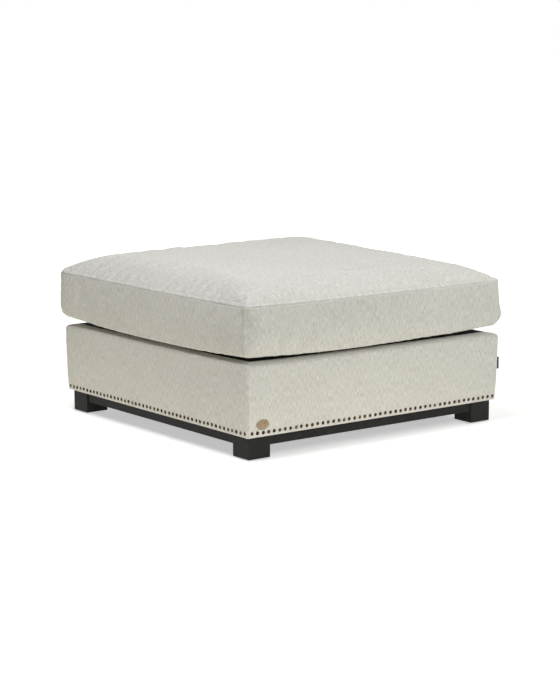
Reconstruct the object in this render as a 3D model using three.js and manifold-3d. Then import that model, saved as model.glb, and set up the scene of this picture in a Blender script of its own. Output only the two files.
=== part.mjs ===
// A square upholstered footstool: a timber box on four block legs, covered in linen, with a loose zipped
// cushion. Millimetres, +Z up. The origin is on the floor under the middle, and the front faces -Y.
import * as THREE from "three";
import { mergeVertices } from "three/addons/utils/BufferGeometryUtils.js";
import Module from "manifold-3d";

const wasm = await Module();
wasm.setup();

// Clearances
const seatGap = 0.3; // between pieces that touch
const runGap = 0.5; // between pieces that slide or turn on each other
const overrun = 4; // how far a cut runs past what it cuts
const roundSides = 12; // of small round pieces and holes

// Overall size of the base, over the fabric at its lower edge
const baseWidth = 920;
const baseDepth = 920;
const baseCornerRadius = 5;
const baseBulge = 5; // how far the sides swell out on their way up
const deckEdgeHeight = 260;
const deckCrown = 15; // the deck's middle stands this much above the base's top edge
const topEdgeRadius = 10;

// Legs and their glides
const legSide = 74;
const legLength = 63.4;
const legChamfer = 1.5;
const legInset = 12; // from the fabric's lower edge to the leg's outer faces
const glideRadius = 15;
const glideThickness = 3;
const glideChamfer = 1;
const glidePinRadius = 2;
const glidePinLength = 18;

// Plinth rails between the legs
const plinthHeight = 30;
const plinthThickness = 18;
const plinthRecess = 4.5; // behind the legs' outer faces
const plinthChamfer = 1;

// Timber frame inside
const boardThickness = 18;
const blockSide = 60;
const blockDrop = 8; // how far a corner block ends below the boards' top
const stretcherHeight = 70;
const stretcherThickness = 22;
const boardChamfer = 0.8;
const boltRadius = 4;
const boltInLeg = 30;
const boltInBlock = 60;
const boltChamfer = 1;

// Base cover and deck
const coverThickness = 6; // side fabric with its foam backing
const hemThickness = 2;
const deckBorder = 26; // how far a side panel turns in over the deck
const borderRise = 10; // how far it climbs on that way in
const dustCoverThickness = 1;
const dustCoverMargin = 1; // between the dust cover's edge and the hem
const strapWidth = 80;
const strapThickness = 2;
const strapRamp = 30; // length over which a strap climbs across another
const strapStapleMargin = 3; // from a strap's end to the board's outer face
const lengthStrapCount = 4;
const crossStrapCount = 3;
const deckFabric = 2;
const padRim = 2.5; // thickness of the deck's pad at its rim
const deckReach = 200; // the deck climbs to its level middle over this distance
const dustCoverChamfer = 2;
const leastCornerRadius = 0.6;
const baseCornerSteps = 2;
const wallShares = [0.12, 0.4, 0.7, 1]; // heights of a side panel's rings, as shares of its wall
const deckRingShares = [1, 0.9, 0.78, 0.66, 0.52];
const deckSideShares = [-1, -0.5, 0, 0.5, 1]; // places of points along the deck's sides

// Nails, plaque and label on the base
const nailsPerSide = 48;
const nailPitch = 19;
const nailRadius = 4.8;
const nailRise = 2.4;
const nailHeight = 12; // above the fabric's lower edge
// Where a nail head's rim points lie, in degrees from the row's direction. The strip between the heads ends
// on the two short rim edges that face the neighbours.
const nailRimAngles = [16, 60, 120, 164, 196, 240, 300, 344];
const nailRidgeShare = 0.25; // where the strip's ridge meets the head, as a share from its rim to its top
const plaqueWidth = 41.5;
const plaqueHeight = 29;
const plaqueThickness = 1.6;
const plaqueFromCorner = 49;
const plaqueAboveHem = 35;
const plaqueSides = 20;
// The plaque's section from its back: shares of its half width and of its thickness
const plaqueRimShares = [[1, 0], [1, 0.7], [0.94, 1], [0.86, 1], [0.8, 0.6], [0, 0.85]];
const plaquePinSpacing = 31;
const plaquePinRadius = 2.2;
const plaquePinShank = 1;
const plaquePinRise = 1.2;
const pinTopShare = 0.6; // the flat on a pin's head, as a share of its radius
const labelHeight = 36;
const labelStandOff = 10;
const labelThickness = 0.8;
const labelAboveHem = 111; // to the label's middle
const labelLean = -12; // degrees from the side's outward direction

// Cushion
const cushionWidth = 950;
const cushionDepth = 950;
const cushionCornerRadius = 18;
const boxingBulge = 5;
const lowSeamRise = 24; // bottom seam above the deck's edge, in the middle of a side
const cornerLift = 8; // how much the bottom seam rises towards the corners
const boxingHeight = 140; // from that middle of the bottom seam up to the top seam's corners
const seamDip = 6; // how far the top seam hangs lower in the middle of a side
const crownEdgeRise = 55;
const crownEdgeReach = 22; // the crown's edge climbs over about this distance
const crownMiddleRise = 15;
const bellyEdgeDrop = 3;
const bellyEdgeReach = 8;
const bellyReach = 300; // its underside falls to its level middle over this distance
const ringCornerSteps = 4; // in a quarter turn of the cushion's corners
const sideShares = [-1, -0.85, 0, 0.85, 1]; // places of points along the cushion's sides
const crownRingShares = [1, 0.975, 0.94, 0.88, 0.76, 0.45];
const bellyRingShares = [1, 0.97, 0.88, 0.7, 0.45];
const boxingSteps = 4; // up the boxing
const cornerSeamSteps = 3; // of a corner's ringCornerSteps that the front boxing turns round
const fabric = 1.5;
const rearWrapRun = 24; // how far the side boxing runs on past the rear corners
const topperDepth = 14; // of the fibre layer at its rim

// Zip in the rear boxing
const zipOpening = 10.4; // between the folded edges of the boxing
const zipTapeWidth = 28;
const zipTapeThickness = 0.8;
const zipSlack = 0.8; // between the boxing and the tape behind it
const zipEndMargin = 16; // of plain tape past each end of the coil
const zipEndInset = 6; // from the ends of the rear boxing to the tape's ends
const coilRise = 1.6;
const coilWidth = 2;
const coilSlit = 2;
const sliderLength = 13;
const sliderWidth = 9;
const sliderPlate = 1.2;
const sliderNeckLength = 8;
const sliderNeckWidth = 1;
const bailRadius = 0.7;
const bailSpan = 6.4;
const bailPost = 1.6;
const pullEyeRadius = 1.9;
const pullEyeWidth = 4;
const pullLength = 26;
const pullWidth = 7;
const pullThickness = 1.2;
const pullNeckLength = 6; // from the bail's middle to the wide grip
const overlapDepth = 0.4; // how far joined lumps reach into each other
const bailHeight = 2.6; // of the bail's middle above the slider

// Heights worked out from the sizes above: the legs and the hem from the floor up, the frame's top and the
// straps from the deck down, and the cushion from the deck up
const legTop = glideThickness + seatGap + legLength;
const dustCoverBottom = legTop + seatGap;
const frameBottom = dustCoverBottom + dustCoverThickness + seatGap;
const hemBottom = frameBottom - seatGap - hemThickness;
const padBottom = deckEdgeHeight - deckFabric - seatGap - padRim;
const strapLevel = padBottom - 2 * seatGap - 2 * strapThickness;
const boardHeight = strapLevel - seatGap - frameBottom;
const cushionLowest = deckEdgeHeight + deckCrown + seatGap;
const lowSeamHeight = deckEdgeHeight + lowSeamRise;
const seamHeight = lowSeamHeight + boxingHeight;
const zipHeight = (lowSeamHeight + seamHeight - seamDip) / 2;

const halfWidth = baseWidth / 2;
const halfDepth = baseDepth / 2;
const frameInset = coverThickness + seatGap; // from the fabric's face to the boards

// The cushion's plan at its seams, and the zip's layers behind the rear boxing
const seamHalfX = cushionWidth / 2 - boxingBulge;
const seamHalfY = cushionDepth / 2 - boxingBulge;
const rearBoxingHalf = cushionWidth / 2 - boxingBulge - cushionCornerRadius - rearWrapRun - seatGap;
const tapeOuterFace = cushionDepth / 2 - fabric - zipSlack;
const tapeInnerFace = tapeOuterFace - zipTapeThickness;
const sliderInnerFace = tapeInnerFace - runGap - sliderPlate;
const sliderOuterFace = tapeOuterFace + coilRise + runGap + sliderPlate;

const degree = Math.PI / 180;
const part = new THREE.Group();

// The four sides, anticlockwise seen from above. Each runs along one way and faces out the other.
const sides = {
  front: { alongX: true, along: [1, 0], out: [0, -1] },
  right: { alongX: false, along: [0, 1], out: [1, 0] },
  rear: { alongX: true, along: [-1, 0], out: [0, 1] },
  left: { alongX: false, along: [0, -1], out: [-1, 0] },
};
const sideNames = Object.keys(sides);

function finish(color, roughness, metalness = 0) {
  return new THREE.MeshStandardMaterial({ color, roughness, metalness });
}

const linen = finish(0xcdc8b9, 0.95);
const blackWood = finish(0x35363a, 0.4);
const timber = finish(0xc79f6b, 0.8);
const bronze = finish(0x6d5a44, 0.4, 0.9);
const brass = finish(0xa58c68, 0.35, 0.9);
const steel = finish(0x9a9da0, 0.4, 0.9);
const webbing = finish(0x2f2f31, 0.9);
const lining = finish(0x222224, 0.95);
const foam = finish(0xe9e2c4, 0.95);
const fibre = finish(0xf4f3ee, 1);
const zipNylon = finish(0xbfb9a8, 0.6);
const plastic = finish(0x4a4a4a, 0.6);

function add(name, geometry, material) {
  const mesh = new THREE.Mesh(geometry, material);
  mesh.name = name;
  part.add(mesh);
  return mesh;
}

// A point given by how far it lies along a side and out from the middle.
function onSide(sideName, along, out, height) {
  const side = sides[sideName];
  return new THREE.Vector3(
    side.along[0] * along + side.out[0] * out,
    side.along[1] * along + side.out[1] * out,
    height,
  );
}

// Turns a geometry made for the front, with its face towards -Y, to another side.
function turnToSide(geometry, sideName) {
  return geometry.rotateZ(sideNames.indexOf(sideName) * 90 * degree);
}

// Solids by adding and cutting

function manifoldOf(geometry) {
  const bare = geometry.clone();
  bare.deleteAttribute("normal");
  bare.deleteAttribute("uv");
  const merged = mergeVertices(bare);
  return new wasm.Manifold(
    new wasm.Mesh({
      numProp: 3,
      vertProperties: merged.attributes.position.array,
      triVerts: new Uint32Array(merged.index.array),
    }),
  );
}

function geometryOf(solid) {
  const mesh = solid.getMesh();
  const geometry = new THREE.BufferGeometry();
  geometry.setAttribute("position", new THREE.BufferAttribute(mesh.vertProperties, 3));
  geometry.setIndex(new THREE.BufferAttribute(mesh.triVerts, 1));
  return geometry;
}

function joined(first, ...others) {
  let solid = manifoldOf(first);
  for (const other of others) solid = solid.add(manifoldOf(other));
  return geometryOf(solid);
}

function cut(body, ...tools) {
  let solid = manifoldOf(body);
  for (const tool of tools) solid = solid.subtract(manifoldOf(tool));
  return geometryOf(solid);
}

// Plain shapes

function block(sizeX, sizeY, sizeZ, x, y, z) {
  return new THREE.BoxGeometry(sizeX, sizeY, sizeZ).translate(x, y, z);
}

// A lathe about +Z. Its profile holds [radius, height] points from the lowest on the axis to the highest.
function turned(profile, segments) {
  const points = profile.map(([radius, height]) => new THREE.Vector2(radius, height));
  return new THREE.LatheGeometry(points, segments).rotateX(90 * degree);
}

function upright(radius, bottom, top, segments) {
  return turned([[0, bottom], [radius, bottom], [radius, top], [0, top]], segments);
}

// A bar of rectangular section with its four long edges chamfered, extruded upwards from z = 0.
function chamferedShape(sizeX, sizeY, chamfer) {
  const x = sizeX / 2;
  const y = sizeY / 2;
  const shape = new THREE.Shape();
  shape.moveTo(-x + chamfer, -y);
  shape.lineTo(x - chamfer, -y);
  shape.lineTo(x, -y + chamfer);
  shape.lineTo(x, y - chamfer);
  shape.lineTo(x - chamfer, y);
  shape.lineTo(-x + chamfer, y);
  shape.lineTo(-x, y - chamfer);
  shape.lineTo(-x, -y + chamfer);
  return shape;
}

// An arc in a shape has two points for each of its curve segments.
function extruded(shape, depth) {
  const curveSegments = roundSides / 2;
  return new THREE.ExtrudeGeometry(shape, { depth, bevelEnabled: false, curveSegments });
}

// A closed solid between two surfaces with the same points and faces. The outer one faces out, and a wall
// follows every edge that has a face on one side only.
function solidBetween(outer, inner, faces) {
  const positions = [];
  for (const point of [...outer, ...inner]) positions.push(point.x, point.y, point.z);
  const inside = outer.length;
  const index = [];
  const edges = new Set();
  for (const [a, b, c] of faces) {
    index.push(a, b, c, inside + a, inside + c, inside + b);
    for (const [from, to] of [[a, b], [b, c], [c, a]]) edges.add(from + "," + to);
  }
  for (const edge of edges) {
    const [from, to] = edge.split(",").map(Number);
    if (edges.has(to + "," + from)) continue;
    index.push(to, from, inside + from, to, inside + from, inside + to);
  }
  const geometry = new THREE.BufferGeometry();
  geometry.setAttribute("position", new THREE.Float32BufferAttribute(positions, 3));
  geometry.setIndex(index);
  return geometry;
}

// Faces of a grid whose rows run anticlockwise round the object and whose columns climb.
function gridFaces(rows, columns) {
  const faces = [];
  for (let i = 0; i + 1 < rows; i++) {
    for (let j = 0; j + 1 < columns; j++) {
      const low = i * columns + j;
      const next = low + columns;
      faces.push([low, next, next + 1], [low, next + 1, low + 1]);
    }
  }
  return faces;
}

// Faces of a disc made of closed rings, from the rim in, with a last single point in the middle.
function discFaces(ringSize, rings) {
  const faces = [];
  for (let ring = 0; ring + 1 < rings; ring++) {
    for (let i = 0; i < ringSize; i++) {
      const here = ring * ringSize + i;
      const next = ring * ringSize + ((i + 1) % ringSize);
      faces.push([here, next, next + ringSize], [here, next + ringSize, here + ringSize]);
    }
  }
  const last = (rings - 1) * ringSize;
  for (let i = 0; i < ringSize; i++) {
    faces.push([last + i, last + ((i + 1) % ringSize), rings * ringSize]);
  }
  return faces;
}

const flipped = (faces) => faces.map(([a, b, c]) => [a, c, b]);

// The points of a surface moved along its own normals, towards the side it faces if distance is above zero.
function offsetPoints(points, faces, distance) {
  const normals = points.map(() => new THREE.Vector3());
  for (const [a, b, c] of faces) {
    const first = points[b].clone().sub(points[a]);
    const normal = first.cross(points[c].clone().sub(points[a]));
    for (const corner of [a, b, c]) normals[corner].add(normal);
  }
  return points.map((point, i) => point.clone().addScaledVector(normals[i].normalize(), distance));
}

// Stations round a rounded rectangle. Each belongs to a side: share runs from -1 to 1 along its straight
// part, turn is the angle into a corner arc, and run goes on past a full quarter turn along the next side.

function sideStations(sideName, shares, stepTurn, startSteps, endSteps, startRun = 0, endRun = 0) {
  const stations = [];
  const put = (share, turn, run = 0) => stations.push({ sideName, share, turn, run });
  if (startRun) put(-1, -startSteps * stepTurn, startRun);
  for (let i = startSteps; i > 0; i--) put(-1, -i * stepTurn);
  for (const share of shares) put(share, 0);
  for (let i = 1; i <= endSteps; i++) put(1, i * stepTurn);
  if (endRun) put(1, endSteps * stepTurn, endRun);
  stations[0].shift = seatGap / 2;
  stations[stations.length - 1].shift = -seatGap / 2;
  return stations;
}

function ringStations(shares, cornerSteps) {
  const stations = [];
  for (const sideName of sideNames) {
    for (const share of shares) stations.push({ sideName, share, turn: 0, run: 0 });
    for (let i = 1; i < cornerSteps; i++) {
      stations.push({ sideName, share: 1, turn: (90 * i) / cornerSteps, run: 0 });
    }
  }
  return stations;
}

// Where a station lies on a rounded rectangle of those half sizes and corner radius.
function stationPoint(station, halfX, halfY, radius, height) {
  const { sideName, share, run } = station;
  const turn = station.turn * degree;
  const shift = station.shift ?? 0;
  const halfAlong = sides[sideName].alongX ? halfX : halfY;
  const reach = sides[sideName].alongX ? halfY : halfX;
  let along = share * (halfAlong - radius) + radius * Math.sin(turn);
  let out = reach - radius + radius * Math.cos(turn) - run;
  along += shift * Math.cos(turn);
  out -= shift * Math.sin(turn);
  return onSide(sideName, along, out, height);
}

// How far along its side an outline point lies, from 0 in the middle to 1 at the corners.
function alongShare(point, halfX, halfY) {
  return Math.min(Math.abs(point.x) / halfX, Math.abs(point.y) / halfY);
}

// Base

// How far a side panel's face stands out from the panel's lower edge at a height.
function sideSwell(height) {
  const climb = THREE.MathUtils.clamp((height - hemBottom) / (deckEdgeHeight - hemBottom), 0, 1);
  return baseBulge * (1 - (1 - climb) ** 2);
}

// The base's reach from the middle on a side, at the fabric's lower edge.
const reachOf = (sideName) => (sides[sideName].alongX ? halfDepth : halfWidth);

const legCentreX = halfWidth - legInset - legSide / 2;
const legCentreY = halfDepth - legInset - legSide / 2;

// The four corners, each with the signs of its x and y.
const corners = {
  front_left: [-1, -1],
  front_right: [1, -1],
  rear_right: [1, 1],
  rear_left: [-1, 1],
};

function addLegs() {
  const boltHole = boltRadius + seatGap;
  const pinHole = glidePinRadius + seatGap;
  const legBottom = glideThickness + seatGap;
  const boltLow = legTop - boltInLeg;
  const boltHigh = frameBottom + boltInBlock;
  for (const [corner, [signX, signY]] of Object.entries(corners)) {
    const x = signX * legCentreX;
    const y = signY * legCentreY;
    const leg = cut(
      extruded(chamferedShape(legSide, legSide, legChamfer), legLength),
      upright(pinHole, -overrun, glidePinLength + seatGap, roundSides),
      upright(boltHole, legLength - boltInLeg - seatGap, legLength + overrun, roundSides),
    );
    add("leg_" + corner, leg, blackWood).position.set(x, y, legBottom);
    const glide = turned(
      [
        [0, 0],
        [glideRadius - glideChamfer, 0],
        [glideRadius, glideChamfer],
        [glideRadius, glideThickness],
        [glidePinRadius, glideThickness],
        [glidePinRadius, legBottom + glidePinLength],
        [0, legBottom + glidePinLength],
      ],
      roundSides,
    );
    add("glide_" + corner, glide, plastic).position.set(x, y, 0);
    const bolt = turned(
      [
        [0, boltLow],
        [boltRadius - boltChamfer, boltLow],
        [boltRadius, boltLow + boltChamfer],
        [boltRadius, boltHigh - boltChamfer],
        [boltRadius - boltChamfer, boltHigh],
        [0, boltHigh],
      ],
      roundSides,
    );
    add("leg_bolt_" + corner, bolt, steel).position.set(x, y, 0);
  }
}

// A bar centred on the origin, running along X, with its thickness along Y and its height along Z.
function bar(length, thickness, height, chamfer) {
  const section = chamferedShape(thickness, height, chamfer);
  return extruded(section, length).translate(0, 0, -length / 2).rotateX(90 * degree).rotateZ(90 * degree);
}

function addPlinthRails() {
  for (const sideName of sideNames) {
    const legCentre = sides[sideName].alongX ? legCentreX : legCentreY;
    const length = 2 * (legCentre - legSide / 2 - seatGap);
    const out = reachOf(sideName) - legInset - plinthRecess - plinthThickness / 2;
    const rail = turnToSide(bar(length, plinthThickness, plinthHeight, plinthChamfer), sideName);
    const mesh = add("plinth_rail_" + sideName, rail, blackWood);
    mesh.position.copy(onSide(sideName, 0, out, legTop - plinthHeight / 2));
  }
}

// Front and rear boards run the full width, and the left and right ones stand between them.
function addFrame() {
  const betweenBoards = baseDepth - 2 * (frameInset + boardThickness + seatGap);
  for (const sideName of sideNames) {
    const length = sides[sideName].alongX ? baseWidth - 2 * frameInset : betweenBoards;
    const board = turnToSide(bar(length, boardThickness, boardHeight, boardChamfer), sideName);
    const out = reachOf(sideName) - frameInset - boardThickness / 2;
    const mesh = add("frame_board_" + sideName, board, timber);
    mesh.position.copy(onSide(sideName, 0, out, frameBottom + boardHeight / 2));
  }
  const blockInset = frameInset + boardThickness + seatGap + blockSide / 2;
  for (const [corner, [signX, signY]] of Object.entries(corners)) {
    const x = signX * (halfWidth - blockInset);
    const y = signY * (halfDepth - blockInset);
    const shape = chamferedShape(blockSide, blockSide, boardChamfer);
    const hole = new THREE.Path();
    const holeX = signX * legCentreX - x;
    const holeY = signY * legCentreY - y;
    hole.absarc(holeX, holeY, boltRadius + seatGap, 0, 2 * Math.PI, true);
    shape.holes.push(hole);
    const cornerBlock = extruded(shape, boardHeight - blockDrop);
    add("corner_block_" + corner, cornerBlock, timber).position.set(x, y, frameBottom);
  }
  const stretcher = bar(betweenBoards, stretcherThickness, stretcherHeight, boardChamfer);
  const mesh = add("centre_stretcher", stretcher.rotateZ(90 * degree), timber);
  mesh.position.set(0, 0, frameBottom + stretcherHeight / 2);
}

// A strap centred on the origin and running along X, drawn from the side as a ribbon and extruded over its
// width. It climbs over the straps that cross it at the places in overs.
function strap(halfLength, overs) {
  const climb = strapThickness + seatGap;
  const flat = strapWidth / 2 + seatGap;
  const line = [[-halfLength, 0]];
  for (const at of overs) {
    line.push([at - flat - strapRamp, 0], [at - flat, climb], [at + flat, climb]);
    line.push([at + flat + strapRamp, 0]);
  }
  line.push([halfLength, 0]);
  const shape = new THREE.Shape();
  shape.moveTo(line[0][0], line[0][1]);
  for (const [along, height] of line.slice(1)) shape.lineTo(along, height);
  for (const [along, height] of line.reverse()) shape.lineTo(along, height + strapThickness);
  return extruded(shape, strapWidth).translate(0, 0, -strapWidth / 2).rotateX(90 * degree);
}

// Places of a number of straps, spread evenly over the gap between two boards.
function strapPlaces(count, span) {
  return Array.from({ length: count }, (_, i) => (i - (count - 1) / 2) * (span / count));
}

// Elastic straps woven over and under each other and stapled to the boards' top edges.
function addStraps() {
  const boardsInset = 2 * (frameInset + boardThickness);
  const lengthPlaces = strapPlaces(lengthStrapCount, baseWidth - boardsInset);
  const crossPlaces = strapPlaces(crossStrapCount, baseDepth - boardsInset);
  const endInset = frameInset + strapStapleMargin;
  lengthPlaces.forEach((x, i) => {
    const overs = crossPlaces.filter((_, j) => (i + j) % 2 === 1);
    const geometry = strap(halfDepth - endInset, overs).rotateZ(90 * degree);
    add("strap_lengthwise_" + (i + 1), geometry, webbing).position.set(x, 0, strapLevel);
  });
  crossPlaces.forEach((y, j) => {
    const overs = lengthPlaces.filter((_, i) => (i + j) % 2 === 0);
    const geometry = strap(halfWidth - endInset, overs);
    add("strap_crosswise_" + (j + 1), geometry, webbing).position.set(0, y, strapLevel);
  });
}

function addDustCover() {
  const inset = legInset - seatGap + dustCoverMargin;
  const shape = chamferedShape(baseWidth - 2 * inset, baseDepth - 2 * inset, dustCoverChamfer);
  for (const [signX, signY] of Object.values(corners)) {
    const hole = new THREE.Path();
    hole.absarc(signX * legCentreX, signY * legCentreY, boltRadius + seatGap, 0, 2 * Math.PI, true);
    shape.holes.push(hole);
  }
  add("dust_cover", extruded(shape, dustCoverThickness), lining).position.z = dustCoverBottom;
}

// A side panel's section: [how far out from the fabric's lower edge, height] from the hem under the board,
// up the side, round the top edge and in over the deck.
function sidePanelSection() {
  const hemReach = legInset - seatGap;
  const wallTop = deckEdgeHeight - topEdgeRadius;
  const hemTop = hemBottom + hemThickness;
  const underside = deckEdgeHeight - coverThickness;
  const outer = [[-hemReach, hemBottom], [0, hemBottom]];
  const inner = [[-hemReach, hemTop], [-coverThickness, hemTop]];
  for (const share of wallShares) {
    const height = hemTop + (wallTop - hemTop) * share;
    outer.push([sideSwell(height), height]);
    inner.push([-coverThickness, Math.min(height + hemThickness, underside)]);
  }
  const edgeOut = sideSwell(wallTop) - topEdgeRadius;
  const slant = topEdgeRadius * Math.SQRT1_2;
  outer.push([edgeOut + slant, wallTop + slant], [edgeOut, deckEdgeHeight]);
  outer.push([-deckBorder, deckEdgeHeight + borderRise]);
  inner.push([-coverThickness, underside], [-2 * coverThickness, underside]);
  inner.push([-deckBorder, underside + borderRise]);
  return { outer, inner };
}

// The points of a strip along stations, with a list of [reach past the half sizes, height] at each one.
function stripPoints(stations, section, halfX, halfY, radius) {
  return stations.flatMap((station) =>
    section.map(([out, height]) => {
      const cornerRadius = Math.max(radius + out, leastCornerRadius);
      return stationPoint(station, halfX + out, halfY + out, cornerRadius, height);
    }),
  );
}

function addSidePanels() {
  const { outer, inner } = sidePanelSection();
  for (const sideName of sideNames) {
    const mitre = 45 / baseCornerSteps;
    const stations = sideStations(sideName, [-1, 1], mitre, baseCornerSteps, baseCornerSteps);
    const outside = stripPoints(stations, outer, halfWidth, halfDepth, baseCornerRadius);
    const inside = stripPoints(stations, inner, halfWidth, halfDepth, leastCornerRadius);
    const faces = gridFaces(stations.length, outer.length);
    add("side_panel_" + sideName, solidBetween(outside, inside, faces), linen);
  }
}

// A surface over a rounded rectangle, as rings through the stations from its rim in and one point in the
// middle. heightAt gets a ring's scale and the outline point at that station.
function ringSurface(stations, halfX, halfY, radius, ringShares, heightAt) {
  const points = ringShares.flatMap((scale) =>
    stations.map((station) => {
      const rim = stationPoint(station, halfX, halfY, radius, 0);
      return new THREE.Vector3(rim.x * scale, rim.y * scale, heightAt(scale, rim));
    }),
  );
  const middle = new THREE.Vector3(0, 0, heightAt(0, new THREE.Vector3()));
  const faces = discFaces(stations.length, ringShares.length);
  return { points: [...points, middle], faces, ringSize: stations.length };
}

// A closed solid between a ring surface and a flat face at a height, below it if the surface faces up.
function slab(points, faces, ringSize, flatHeight, facesUp) {
  const all = [...points];
  const rimStart = all.length;
  for (let i = 0; i < ringSize; i++) all.push(new THREE.Vector3(points[i].x, points[i].y, flatHeight));
  const middle = all.length;
  all.push(new THREE.Vector3(0, 0, flatHeight));
  const index = [...faces];
  for (let i = 0; i < ringSize; i++) {
    const next = (i + 1) % ringSize;
    index.push([next, i, rimStart + i], [next, rimStart + i, rimStart + next]);
    index.push([rimStart + next, rimStart + i, middle]);
  }
  const positions = all.flatMap((point) => [point.x, point.y, point.z]);
  const geometry = new THREE.BufferGeometry();
  geometry.setAttribute("position", new THREE.Float32BufferAttribute(positions, 3));
  geometry.setIndex((facesUp ? index : flipped(index)).flat());
  return geometry;
}

const smooth = (distance, reach) => THREE.MathUtils.smoothstep(distance, 0, reach);
const easing = (distance, reach) => 1 - Math.exp(-distance / reach);

// How far a point of a ring lies in from the nearest rim, and from the next side's rim.
function rimDistances(scale, rim, halfX, halfY) {
  const half = Math.min(halfX, halfY);
  return [(1 - scale) * half, (1 - scale * alongShare(rim, halfX, halfY)) * half];
}

// The deck is dark lined fabric over a foam pad. It climbs from the side panels' borders to a level middle.
function addDeck() {
  const halfX = halfWidth - deckBorder - seatGap;
  const halfY = halfDepth - deckBorder - seatGap;
  const deckHeight = (scale, rim) => {
    const [near, far] = rimDistances(scale, rim, halfX, halfY);
    const climb = smooth(near, deckReach) * smooth(far, deckReach);
    return deckEdgeHeight + borderRise + (deckCrown - borderRise) * climb;
  };
  const stations = ringStations(deckSideShares, 1);
  const deck = ringSurface(stations, halfX, halfY, leastCornerRadius, deckRingShares, deckHeight);
  const underside = offsetPoints(deck.points, deck.faces, -deckFabric);
  add("deck_cover", solidBetween(deck.points, underside, deck.faces), lining);
  const padTop = offsetPoints(deck.points, deck.faces, -deckFabric - seatGap);
  const pad = slab(padTop, deck.faces, deck.ringSize, padBottom, true);
  add("deck_pad", pad, foam);
}

// A row of nail heads along X that face -Y, joined by a thin strip with a ridge. Each head has its rim
// points, its top, and the two points where the strip's ridge meets it, on the right and on the left.
function nailRow() {
  const rimCount = nailRimAngles.length;
  const top = rimCount;
  const ridgeRight = rimCount + 1;
  const ridgeLeft = rimCount + 2;
  const pointsPerNail = rimCount + 3;
  const shortEdge = Math.cos(nailRimAngles[0] * degree) * nailRadius;
  const ridgeOut = shortEdge * (1 - nailRidgeShare);
  const ridgeRise = nailRise * nailRidgeShare;
  const leftRim = rimCount / 2 - 1;
  const positions = [];
  const index = [];
  for (let i = 0; i < nailsPerSide; i++) {
    const x = (i - (nailsPerSide - 1) / 2) * nailPitch;
    for (const angle of nailRimAngles) {
      const turn = angle * degree;
      positions.push(x + nailRadius * Math.cos(turn), 0, nailRadius * Math.sin(turn));
    }
    positions.push(x, -nailRise, 0);
    positions.push(x + ridgeOut, -ridgeRise, 0);
    positions.push(x - ridgeOut, -ridgeRise, 0);

    const start = i * pointsPerNail;
    const put = (...corners) => index.push(...corners.map((corner) => start + corner));
    for (let k = 0; k < rimCount; k++) {
      const next = (k + 1) % rimCount;
      const ridge = k === leftRim && i > 0 ? ridgeLeft : ridgeRight;
      const meetsStrip = (k === leftRim && i > 0) || (next === 0 && i + 1 < nailsPerSide);
      if (meetsStrip) put(k, ridge, top, ridge, next, top);
      else put(k, next, top);
      if (k > 0 && next > 0) put(0, next, k);
    }
    if (i + 1 === nailsPerSide) continue;
    const last = rimCount - 1;
    const nextLeft = pointsPerNail + leftRim;
    const nextRidge = pointsPerNail + ridgeLeft;
    put(ridgeRight, nextRidge, nextLeft, ridgeRight, nextLeft, 0);
    put(last, nextLeft + 1, nextRidge, last, nextRidge, ridgeRight);
    put(0, nextLeft, nextLeft + 1, 0, nextLeft + 1, last);
  }
  const geometry = new THREE.BufferGeometry();
  geometry.setAttribute("position", new THREE.Float32BufferAttribute(positions, 3));
  geometry.setIndex(index);
  return geometry;
}

function addNailRows() {
  const height = hemBottom + nailHeight;
  for (const sideName of sideNames) {
    const row = turnToSide(nailRow(), sideName);
    const out = reachOf(sideName) + sideSwell(height + nailRadius) + seatGap;
    add("nail_row_" + sideName, row, bronze).position.copy(onSide(sideName, 0, out, height));
  }
}

// An oval plaque with a raised rim, near the front panel's left end, held by two pins.
function addPlaque() {
  const height = hemBottom + plaqueAboveHem;
  const x = -halfWidth + plaqueFromCorner;
  const out = halfDepth + sideSwell(height + plaqueHeight / 2) + seatGap;
  const profile = plaqueRimShares.map(([radius, rise]) => [radius, rise * plaqueThickness]);
  const oval = turned([[0, 0], ...profile], plaqueSides);
  oval.scale(plaqueWidth / 2, plaqueHeight / 2, 1).rotateX(90 * degree);
  const holeRadius = plaquePinShank + seatGap;
  const holes = [-1, 1].map((sign) =>
    upright(holeRadius, -overrun, plaqueThickness + overrun, roundSides)
      .rotateX(90 * degree)
      .translate((sign * plaquePinSpacing) / 2, 0, 0),
  );
  const plaque = new THREE.Group();
  plaque.position.set(x, -out, height);
  part.add(plaque);
  const plate = new THREE.Mesh(cut(oval, ...holes), brass);
  plate.name = "plaque";
  plaque.add(plate);
  [-1, 1].forEach((sign, i) => {
    const underHead = plaqueThickness + seatGap;
    const pin = turned(
      [
        [0, 0],
        [plaquePinShank, 0],
        [plaquePinShank, underHead],
        [plaquePinRadius, underHead],
        [plaquePinRadius * pinTopShare, underHead + plaquePinRise],
        [0, underHead + plaquePinRise],
      ],
      roundSides,
    );
    const mesh = new THREE.Mesh(pin.rotateX(90 * degree), bronze);
    mesh.name = ["plaque_pin_left", "plaque_pin_right"][i];
    mesh.position.x = (sign * plaquePinSpacing) / 2;
    plaque.add(mesh);
  });
}

// A plain folded label that stands out of the front right corner's seam.
function addCornerLabel() {
  const height = hemBottom + labelAboveHem;
  const swell = sideSwell(height + labelHeight / 2);
  const radius = baseCornerRadius + swell;
  const station = { sideName: "front", share: 1, turn: 45, run: 0 };
  const corner = stationPoint(station, halfWidth + swell, halfDepth + swell, radius, height);
  const rootGap = seatGap + labelThickness / 2;
  const label = block(labelStandOff, labelThickness, labelHeight, labelStandOff / 2 + rootGap, 0, 0);
  const mesh = add("corner_label", label, lining);
  mesh.position.copy(corner);
  mesh.rotation.z = labelLean * degree;
}

// Cushion

// Heights of the two seams, where share is 0 in the middle of a side and 1 at its corners.
const topSeam = (share) => seamHeight - seamDip * (1 - share ** 2);
const lowSeam = (share) => lowSeamHeight + cornerLift * share ** 4;

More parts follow.
